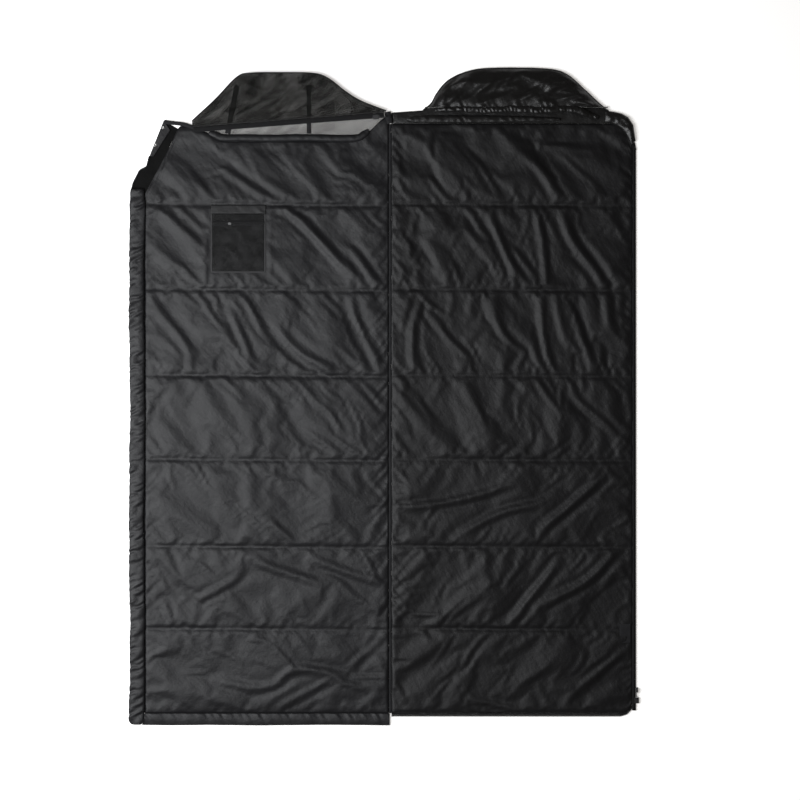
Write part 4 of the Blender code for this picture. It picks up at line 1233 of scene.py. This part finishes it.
def pocket_edges():
    """Binding round the pocket's sides and foot, and the hem under its zip."""
    near, far, bottom, top = POCKET_RECT
    band_low = top - POCKET_BAND_WIDTH
    left, right, foot = near + 0.0025, far - 0.0025, bottom + 0.0025
    line = spaced(((left, band_low), (left, foot), (right, foot), (right, band_low)), 0.005)
    heights = net_quilt.height(line[:, 0], line[:, 1]) + 0.0010
    path = [(*net_side(o, u), z) for (o, u), z in zip(line, heights)]
    bound = rolled("pocket_edge_tape", path, 0.0048, 0.0014, PALE_EDGE, "net_half", 0, 0.01, 1, 8, 0.5)
    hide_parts("pocket_binding")
    outs = np.linspace(near + POCKET_EDGE, far - POCKET_EDGE, 40)
    hem_up = band_low - 0.0330 - 0.0010
    heights = net_quilt.height(outs, np.full(outs.shape, hem_up)) + 0.0012
    stitch = [(*net_side(o, hem_up), z) for o, z in zip(outs, heights)]
    hem = rolled("pocket_zip_hem", stitch, 0.0034, 0.0010, BINDING, "net_half", 0, 0.01, 1, 8, 0.5)


def hook_patch():
    """Patch of hook tape near the foot of the hood half's edge."""
    patch = on_lining("hook_patch_cloth", hood_quilt, 0.7000, 0.7340, -1.584, -1.526, 0.0004, 0.0012, HOOK,
                      "hood_half", (14, 22), "hook_tape")
    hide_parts("hook_patch")


# ---------------------------------------------------------------- zips, centre seam and pulls
MAIN_PULL_X, MAIN_PULL_Y = 0.7707, -0.92085     # middle of the main slider's ring
GRIP_RIB_PITCH = 0.0042


def zip_strips():
    """Woven zip tapes and wound coils of the side, the foot, the net and the pocket."""

    def strip(name, node, path, wide, tall, finish, body, slot_name, square):
        made = rolled(name, path, wide, tall, finish, body, 0.0, 0.02, 63, 8, square)
        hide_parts(node)

    def tape(name, node, path, wide, body, tall):
        strip(name, node, path, wide, tall, TAPE, body, "zip_tape", 0.4)

    def coil(name, node, path, wide, body, tall, finish):
        strip(name, node, path, wide, tall, finish, body, "zip_coil", 1.0)

    ups = np.linspace(-BODY_LENGTH + 0.008, -0.040, 430)
    turn_in = 0.0120 * np.clip((ups + 0.078) / 0.038, 0, 1) ** 2     # round the neck corner
    tape("side_zip_tape_weave", "side_zip_tape",
         course(hood_side, 0.7426 - turn_in[::3], ups[::3], 0.0046), 0.0084, "hood_half", 0.0036)
    coil("side_zip_coil_wound", "side_zip_coil",
         course(hood_side, 0.7486 - turn_in, ups, 0.0040), 0.0038, "hood_half", 0.0031, COIL_ALONG_Y)

    ups = np.linspace(-BODY_LENGTH, -0.2115, 200)
    tape("net_side_tape_weave", "net_side_zip_tape",
         course(net_side, 0.7558, ups, 0.0007), 0.0148, "net_half", 0.0011)
    coil("net_side_coil_wound", "net_side_zip_coil",
         course(net_side, 0.7656, ups, 0.0017), 0.0038, "net_half", 0.0030, COIL_ALONG_Y)

    foot = -BODY_LENGTH - 0.0003
    outs = np.linspace(0.004, 0.7405, 210)
    foot_ups = foot + np.interp(outs, [0.702, 0.722, 0.7405], [0.0, 0.006, 0.026])   # round the foot corner
    tape("foot_tape_weave", "foot_zip_tape",
         course(hood_side, outs, foot_ups - 0.0030, 0.0040), 0.0060, "hood_half", 0.0013)
    coil("foot_coil_wound", "foot_zip_coil",
         course(hood_side, outs, foot_ups - 0.0083, 0.0040), 0.0042, "hood_half", 0.0031, COIL_ALONG_X)

    outs = np.linspace(0.004, 0.748, 200)
    tape("net_foot_tape_weave", "net_foot_zip_tape",
         course(net_side, outs, foot - 0.0075, 0.0007), 0.0148, "net_half", 0.0011)
    coil("net_foot_coil_wound", "net_foot_zip_coil",
         course(net_side, outs, foot - 0.0173, 0.0017), 0.0038, "net_half", 0.0030, COIL_ALONG_X)

    outs = np.linspace(0.0185, 0.5995, 220)
    height = NET_FRONT_LOW + 0.0016
    tape("net_zip_tape_weave", "net_zip_tape",
         course(net_side, outs, zip_up(outs) - 0.0044, height), 0.0165, "net_front", 0.0016)
    coil("net_zip_coil_wound", "net_zip_coil",
         course(net_side, outs, zip_up(outs) + 0.0060, height), 0.0038, "net_front", 0.0031, COIL_ALONG_X)

    outs = np.linspace(0.384, 0.541, 80)
    coil("pocket_coil_wound", "pocket_zip_coil",
         course(net_side, outs, -0.3055, 0.0130), 0.0025, "net_half", 0.0016, COIL_ALONG_X)
    tape("pocket_tape_weave", "pocket_zip_tape",
         course(net_side, outs, -0.3005, 0.0130), 0.0068, "net_half", 0.0007)


def centre_seam():
    """Bound seam between the two halves, and its bundled end at the neck."""
    ups = np.linspace(-BODY_LENGTH, -0.0008, 500)
    path = [(SEAM_X + 0.0006 * math.sin(70 * u), NECK_Y + u, 0.0042) for u in ups]
    top = [(SEAM_X - 0.0080 * u / 0.036, NECK_Y + u, 0.0090) for u in np.linspace(0.0005, 0.036, 18)]
    bundle = rolled("neck_seam_bundle", top, 0.0200, 0.0125, BINDING, "hood_half", 0.0026, 0.006, 65, 12)
    seam = rolled("centre_seam_tape", path, 0.0092, 0.0046, BINDING, None, 0.0008, 0.0085, 64, 10)
    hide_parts("centre_seam_binding")
    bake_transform(seam)


def dress(finish, *names):
    """Gives carried-over parts their finish."""
    for name in names:
        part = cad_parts[name]
        for slot in part.material_slots:
            slot.material = finish
        if not part.material_slots:
            part.data.materials.append(finish)


def pull_cord(name, ring, end, upper, lower, dip=0.004):
    """A doubled pull cord: out from its grip or knot, round the wire of the ring and back."""
    loop = ((0, 0.0102, 0.003), (0, 0.0072, 0.003), (0, 0.00495, 0.0021), (0, 0.0042, 0),
            (0, 0.00495, -0.0021), (0, 0.0072, -0.003), (0, 0.0102, -0.003))
    route = [(0, end, upper[0]), (0, end - dip, upper[1]), *loop,
             (0, end - dip, lower[1]), (0, end, lower[0])]
    places = [ring @ Vector(p) for p in smooth_line(route, 3)]
    curve = bpy.data.curves.new(name, "CURVE")
    curve.dimensions = "3D"
    curve.bevel_depth = PULL_CORD / 2
    curve.bevel_resolution = 3
    curve.use_fill_caps = True
    spline = curve.splines.new("POLY")
    spline.points.add(len(places) - 1)
    for point, place in zip(spline.points, places):
        point.co = (*place, 1)
    curve.materials.append(CORD_YARN)
    made = bpy.data.objects.new(name, curve)
    bpy.context.scene.collection.objects.link(made)
    length = sum((b - a).length for a, b in zip(places, places[1:]))
    return made, places[0], length


def moulded_grip():
    """Ribbed rubber grip at the end of the main pull."""
    x, y, z = MAIN_PULL_X, MAIN_PULL_Y, 0.0082
    bpy.ops.object.select_all(action="DESELECT")
    bpy.ops.mesh.primitive_cube_add(size=1)
    grip = bpy.context.object
    grip.name = "main_pull_grip_moulded"
    bpy.ops.object.mode_set(mode="EDIT")
    bpy.ops.transform.resize(value=(0.0088, 0.0158, 0.0044))
    bpy.ops.transform.translate(value=(x, y + 0.0260, z))
    bpy.ops.mesh.subdivide(number_cuts=5)
    bpy.ops.object.mode_set(mode="OBJECT")
    for vert in grip.data.vertices:
        rib = 1 - 0.10 * math.cos((vert.co.y - y) * 2 * math.pi / GRIP_RIB_PITCH)
        for axis, middle in ((0, x), (2, z)):
            vert.co[axis] = middle + (vert.co[axis] - middle) * min(rib, 1.0)
    soften = grip.modifiers.new("soft edges", "BEVEL")
    soften.width, soften.segments, soften.limit_method = 0.0009, 3, "ANGLE"
    bpy.context.view_layer.objects.active = grip
    bpy.ops.object.modifier_apply(modifier=soften.name)
    grip.data.materials.append(GRIP)
    grip.data.shade_smooth()
    return grip


def main_pull():
    """Cord and grip of the main slider."""
    ring = Matrix.Translation((MAIN_PULL_X, MAIN_PULL_Y, 0.0081))
    made, start, length = pull_cord("main_pull_cord_yarn", ring, 0.0177, (0.0015, 0.0015), (-0.0013, -0.0013))
    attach(made, "main_pull")
    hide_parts("main_pull_cord")
    grip = moulded_grip()
    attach(grip, "main_pull")
    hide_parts("main_pull_grip")


def net_pull():
    """Cord and knot of the net's slider, which lies turned along the net's zip."""
    turn = Matrix.Rotation(math.atan2(-0.045, -0.582), 4, "Z")
    zip_end = Matrix.Translation((0.0006, 0.86215, NET_FRONT_LOW))
    slider = zip_end @ turn @ Matrix.Translation((0.020, 0.006, 0.0016))
    ring = slider @ Matrix.Rotation(math.radians(90), 4, "Z") @ Matrix.Translation((0.0035, 0, 0.0041))
    made, start, length = pull_cord("net_pull_cord_yarn", ring, 0.0209, (0.0009, 0.00144),
                                    (-0.0009, -0.00144), 0.005)
    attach(made, "net_pull")
    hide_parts("net_pull_cord")
    tied = ((0, 0.0027), (0.0014, 0.0024), (0.0024, 0.0014), (0.0021, 0.0003), (0.0027, -0.0006),
            (0.0020, -0.0018), (0.0009, -0.0026))
    knot = turned("net_pull_knot_tied", tied, 20, CORD_YARN, tuple(ring @ Vector((0, 0.024, 0))), "net_pull")
    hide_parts("net_pull_knot")


# ---------------------------------------------------------------- neck corners
def neck_edge():
    """Bound edge that runs on from the net's zip to the cut corner."""
    line = smooth_line([(0.594, -0.012), (0.630, 0.000), (0.662, 0.004), (0.689, 0.008)], 8)
    path = [(*net_side(o, u - 0.0020), 0.0090 - 0.003 * k / len(line)) for k, (o, u) in enumerate(line)]
    edge = rolled("neck_edge_binding", path, 0.0125, 0.0060, BINDING, "net_half", 0.0008, 0.008, 68, 10)


def neck_corner_gathers():
    """Crumpled seam allowance where the hood, the neck and the head of the side zip meet."""
    edge_a = [(0.655, 0.040), (0.684, 0.036), (0.706, 0.031), (0.726, 0.020), (0.742, -0.004),
              (0.7490, -0.052)]
    edge_b = [(0.655, 0.006), (0.676, 0.000), (0.694, -0.008), (0.708, -0.018), (0.720, -0.032),
              (0.736, -0.066)]
    out, up = between(edge_a, edge_b, 60, 22)
    share = np.linspace(0, 1, 22)[:, None] * np.ones((1, 60))
    ends = np.sin(np.pi * np.linspace(0, 1, 60))[None, :] ** 0.5
    body = np.sin(np.pi * share) ** 0.6 * ends
    crumple = 0.0032 * ripple(out, up, 0.015, 66) + 0.0010 * ripple(out, up, 0.008, 67)
    top = 0.0090 + 0.0095 * body + crumple * body
    x, y = hood_side(out, up)
    made = closed_sheet("neck_corner_gathers", x, y, top, 0.0020 + 0.002 * (1 - body), HOOD_LINING,
                        "hood_half")


nets()
net_trims()
neck_hem()
draught_tube()
foot_flap()
corner_gusset()
corner_flap()
neck_edge()
neck_corner_gathers()
pocket()
pocket_edges()
hook_patch()
zip_strips()
centre_seam()
main_pull()
net_pull()
dress(DARK_METAL, "main_slider", "main_pull_ring", "net_slider", "net_pull_ring", "zip_head_stop")
dress(SLIDER_METAL, "pocket_slider", "pocket_pull")


# ---------------------------------------------------------------- floor
FLOOR_SIZE = 80             # wide enough that no low view shows its edge


def lay_floor():
    """A plain pale floor under the quilt."""
    bpy.ops.object.select_all(action="DESELECT")
    bpy.ops.mesh.primitive_plane_add(size=FLOOR_SIZE, location=(0, 0, -0.0004))
    floor = bpy.context.object
    floor.name = "studio_floor"
    paint = Finish("floor_paint", (0.90, 0.90, 0.90), 0.9, specular=0.1)
    paint.tint(paint.noise(3.0, 2), (0.89, 0.89, 0.89), (0.91, 0.91, 0.91))
    paint.shader.inputs["Emission Color"].default_value = (1.0, 0.975, 0.945, 1)
    paint.shader.inputs["Emission Strength"].default_value = 0.40
    floor.data.materials.append(paint.material)


lay_floor()
